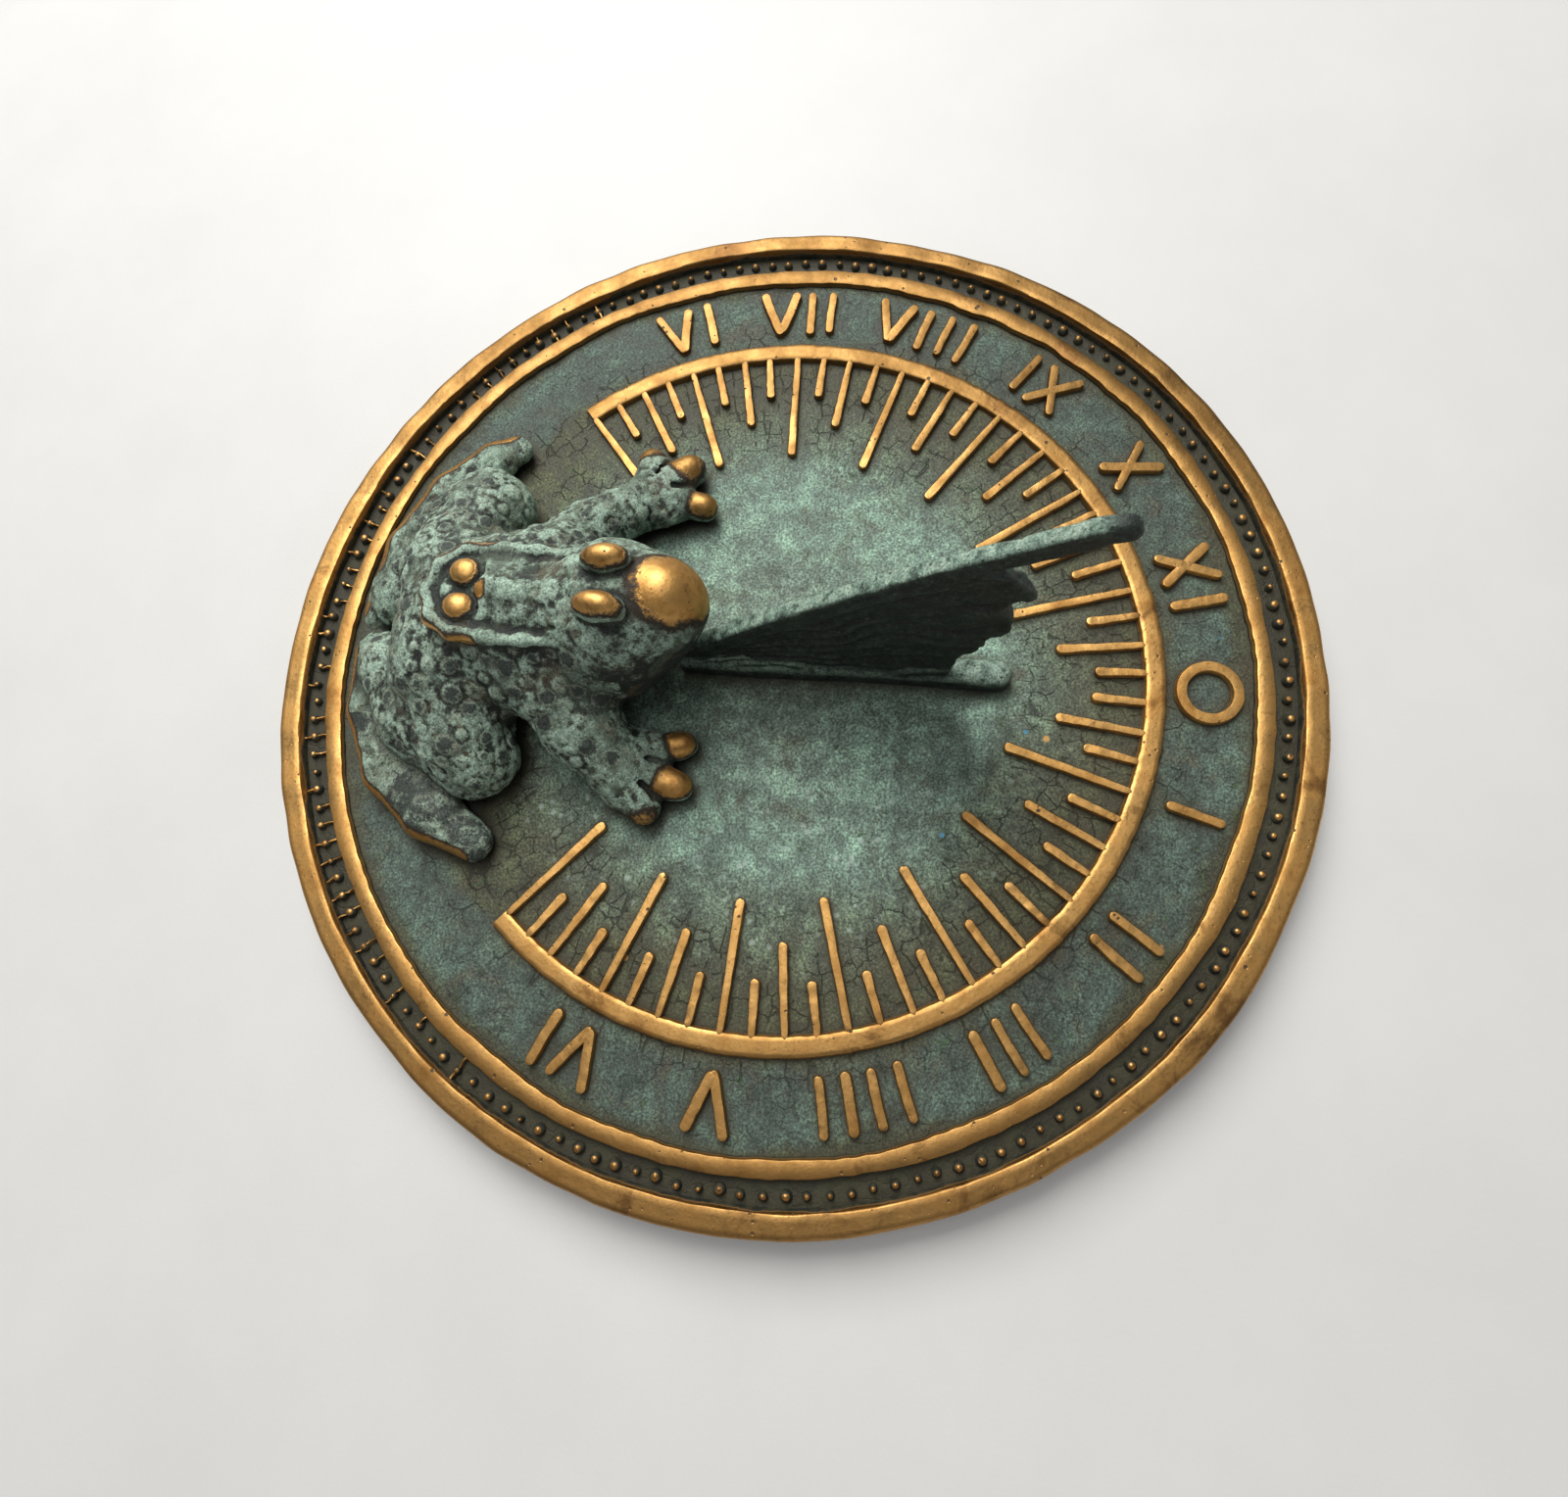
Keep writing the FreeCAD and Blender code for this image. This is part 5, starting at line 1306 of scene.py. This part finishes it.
def gnomon():
    """The gnomon: a bowed style, a veined leaf-like blade with a ragged end, and a rounded foot."""
    lift = RELIEF_TOP
    clay = Clay((-5.0, -23.5, GROUND - 1.2), (5.0, 64.5, 86.4), GNOMON_CELL)
    xs, ys, zs = clay.axes
    y, z = np.meshgrid(ys, zs, indexing="ij")
    flat = np.column_stack([y.ravel(), z.ravel()])

    def plane_lumps(size, seed, squeeze=(1.0, 1.0)):
        """Smooth noise over the gnomon's plane."""
        return lumps(np.column_stack([flat * squeeze, np.zeros(len(flat))]), size, seed).reshape(y.shape)

    def to_path(path):
        """Distance to a path in the gnomon's plane, and the place along it from 0 to 1."""
        best, where = np.full(len(flat), 1e9), np.zeros(len(flat))
        path = np.array(path, float)
        run = 0.0
        for a, b in zip(path, path[1:]):
            length = np.linalg.norm(b - a)
            place, away = beside(flat, a, b)
            closer = away < best
            best = np.where(closer, away, best)
            where = np.where(closer, run + place * length, where)
            run += length
        return best.reshape(y.shape), where.reshape(y.shape) / run

    depth = 2.6
    top = np.array([(p, q + lift) for p, q in STYLE_TOP])
    tangent = np.gradient(top, axis=0)
    tangent /= np.linalg.norm(tangent, axis=1, keepdims=True)
    middle = top + np.column_stack([tangent[:, 1], -tangent[:, 0]]) * depth
    strap, share = to_path(middle)
    wander = plane_lumps(3.0, 81, (0.8, 0.8))
    strap_half = 2.15 - 0.60 * share + 0.14 * wander
    strap = strap - depth - 0.18 * wander
    spread = np.abs(xs).reshape(-1, 1, 1)

    def slab(inside, half, rounding):
        """A slab of the given outline and half thickness, with rounded edges."""
        a = spread - (half - rounding)
        b = (inside + rounding)[None]
        both = np.sqrt(np.maximum(a, 0) ** 2 + np.maximum(b, 0) ** 2)
        return both + np.minimum(np.maximum(a, b), 0) - rounding

    shape = slab(strap, strap_half[None], 1.0)

    corner = [(-21.0, lift + 1.0)]
    under = [tuple(p) for p in middle[1:9]]
    edge = [(p, q + lift) for p, q in BLADE_EDGE]
    outline = np.array(corner + under + edge, float)
    inside = np.zeros(len(flat), bool)
    for a, b in zip(outline, np.roll(outline, -1, axis=0)):
        crosses = (a[1] > flat[:, 1]) != (b[1] > flat[:, 1])
        reach = a[0] + (flat[:, 1] - a[1]) * (b[0] - a[0]) / (b[1] - a[1] + 1e-12)
        inside ^= crosses & (flat[:, 0] < reach)
    away, _ = to_path(np.vstack([outline, outline[:1]]))
    blade = np.where(inside.reshape(y.shape), -away, away)
    # veins fan out from the mouth and bend up towards the style
    fan_y, fan_z = -34.0, lift + 1.0
    distance = np.hypot(y - fan_y, z - fan_z)
    angle = np.arctan2(z - fan_z, y - fan_y)
    drift = plane_lumps(13.0, 82)
    ripple = plane_lumps(3.6, 83)
    phase = angle * 38 + distance * 0.035 + drift * 1.9 + ripple * 0.5
    vein = np.abs(np.sin(phase)) ** 1.6
    fade = np.clip(plane_lumps(5.0, 84, (0.45, 1.0)) * 0.7 + 0.6, 0.1, 1)
    pitted = plane_lumps(1.5, 85)
    blade_half = 1.05 + 0.85 * vein * fade + 0.10 * pitted
    blade_half = blade_half + 0.9 * np.clip(1 - np.abs(z - (lift + 5)) / 5.0, 0, 1)
    ragged = 0.35 * ripple + 0.25 * pitted
    leaf = slab(blade + ragged, blade_half[None], 0.55)

    def joined(a, b, soft):
        share = np.maximum(soft - np.abs(a - b), 0) / soft
        return np.minimum(a, b) - share * share * soft * 0.25

    shape = joined(shape, leaf, 1.6)
    foot_start, foot_end = -22.5, 52.4
    t = np.clip((y - foot_start) / (foot_end - foot_start), 0, 1)
    gap_y = y - (foot_start + t * (foot_end - foot_start))
    low_z = np.maximum(z - (GROUND + 3.4), 0) / 0.92
    half_width = 3.45 + 0.35 * np.sin(t * 5 + 1) + 0.12 * wander
    foot = np.sqrt(spread ** 2 + gap_y[None] ** 2 + (low_z[None] * 1.12) ** 2) - half_width[None]
    shape = joined(shape, foot, 1.8)
    shape = np.maximum(shape, (GROUND - 0.3 - z)[None])
    clay.field = shape.astype(np.float32)
    clay.field[0], clay.field[-1] = 3.0, 3.0
    clay.field[:, 0], clay.field[:, -1] = 3.0, 3.0
    clay.field[:, :, 0], clay.field[:, :, -1] = 3.0, 3.0
    points, quads = clay.skin()
    normals = outward(points, quads)
    skin = lumps(points, 2.2, 91) * 0.14 + lumps(points, 0.9, 92) * 0.07
    points = points + normals * skin[:, None]
    points[:, 2] = np.clip(points[:, 2], GROUND - 0.3, cad_high.z / MM)
    hollow = np.clip(hollows(points, quads, normals, 6) * 3.5, -1, 1)
    # the style's upper face and the foot's end get a pale crust where they face up: partly verdigris, partly
    # painted light from above, brightest on the foot's end as a painted highlight
    along = np.interp(points[:, 1], top[:, 0], top[:, 1])
    facing = np.clip((normals[:, 2] - 0.35) / 0.4, 0, 1)
    pale = facing * np.clip((points[:, 2] - along + 4.0) / 2.0, 0, 1)
    pale = pale * np.interp(points[:, 1], [55.5, 57.5, 59.5], [1, 0.9, 0.0])
    on_foot = (points[:, 2] < GROUND + 9) * np.clip((normals[:, 2] - 0.15) / 0.5, 0, 1)
    pale = np.maximum(pale, on_foot * np.interp(points[:, 1], [-20, 40, 46, 54], [0.7, 0.55, 0.9, 0.9]))
    return piece("gnomon_leaf", points, quads, GNOMON_PATINA, sharp=0, hollow=hollow, pale=pale,
                 rub=np.zeros(len(points)), wart=np.zeros(len(points)))


# ---- the object --------------------------------------------------------------------------------

ground = dial_ground()
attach(ground, "root")
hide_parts("dial_plate")

bosses = screw_bosses()
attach(bosses, "root")

for brass_piece in (rim(), ring(), hour_band(), numerals(), hour_lines(), bead_row(), casting_flash()):
    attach(brass_piece, "root")

frog_skin = frog()
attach(frog_skin, "root")
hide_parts("frog")

gnomon_leaf = gnomon()
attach(gnomon_leaf, "root")
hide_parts("gnomon")

for name, node in frame["nodes"].items():
    if "screw" in name or "washer" in name:
        node.data.materials.clear()
        node.data.materials.append(STEEL)


# ---- floor, light and camera -------------------------------------------------------------------

def floor():
    """A level floor just under the dial."""
    half, steps = 3.0, 12
    line = np.linspace(-half, half, steps + 1) / MM
    points = [(x, y, -0.2) for x in line for y in line]
    wide = steps + 1
    corners = [i * wide + j for i in range(steps) for j in range(steps)]
    faces = [(corner, corner + wide, corner + wide + 1, corner + 1) for corner in corners]
    return piece("floor", points, faces, FLOOR, sharp=0)


floor()


def soft_light(name, place, size, power, colour=(1.0, 1.0, 1.0)):
    """A soft box that faces the dial's middle."""
    data = bpy.data.lights.new(name, "AREA")
    data.shape = "RECTANGLE"
    data.size, data.size_y = size
    data.energy = power
    data.color = colour
    made = bpy.data.objects.new(name, data)
    made.location = place
    made.rotation_mode = "QUATERNION"
    made.rotation_quaternion = Vector(place).to_track_quat("Z", "Y")
    bpy.context.collection.objects.link(made)


soft_light("overhead_west", (-0.90, -0.36, 1.10), (0.80, 1.00), 24.0, (1.0, 0.985, 0.955))
soft_light("overhead", (-0.05, -0.12, 0.95), (0.5, 0.5), 1.9)
soft_light("low_east", (0.70, 0.35, 0.30), (0.7, 0.20), 0.45, (1.0, 0.98, 0.95))

world = bpy.data.worlds.new("studio")
world.use_nodes = True
world.node_tree.nodes["Background"].inputs["Color"].default_value = (0.95, 0.97, 1.0, 1.0)
world.node_tree.nodes["Background"].inputs["Strength"].default_value = 0.16
bpy.context.scene.world = world
bpy.context.scene.view_settings.view_transform = "Standard"

CAMERA_PLACE = Vector((0.0682, 0.0258, 0.2010))
CAMERA_RIGHT = Vector((-0.10307, 0.99073, -0.08853))
CAMERA_DOWN = Vector((0.96619, 0.07857, -0.24558))
CAMERA_FORWARD = Vector((-0.23634, -0.11085, -0.96533))
camera_data = bpy.data.cameras.new("camera")
camera_data.lens = 19.125
camera_data.sensor_width = 36.0
camera_data.clip_start, camera_data.clip_end = 0.005, 20.0
camera = bpy.data.objects.new("camera", camera_data)
camera.matrix_world = Matrix.Translation(CAMERA_PLACE) @ Matrix(
    (CAMERA_RIGHT, -CAMERA_DOWN, -CAMERA_FORWARD)).transposed().to_4x4()
bpy.context.collection.objects.link(camera)
bpy.context.scene.camera = camera
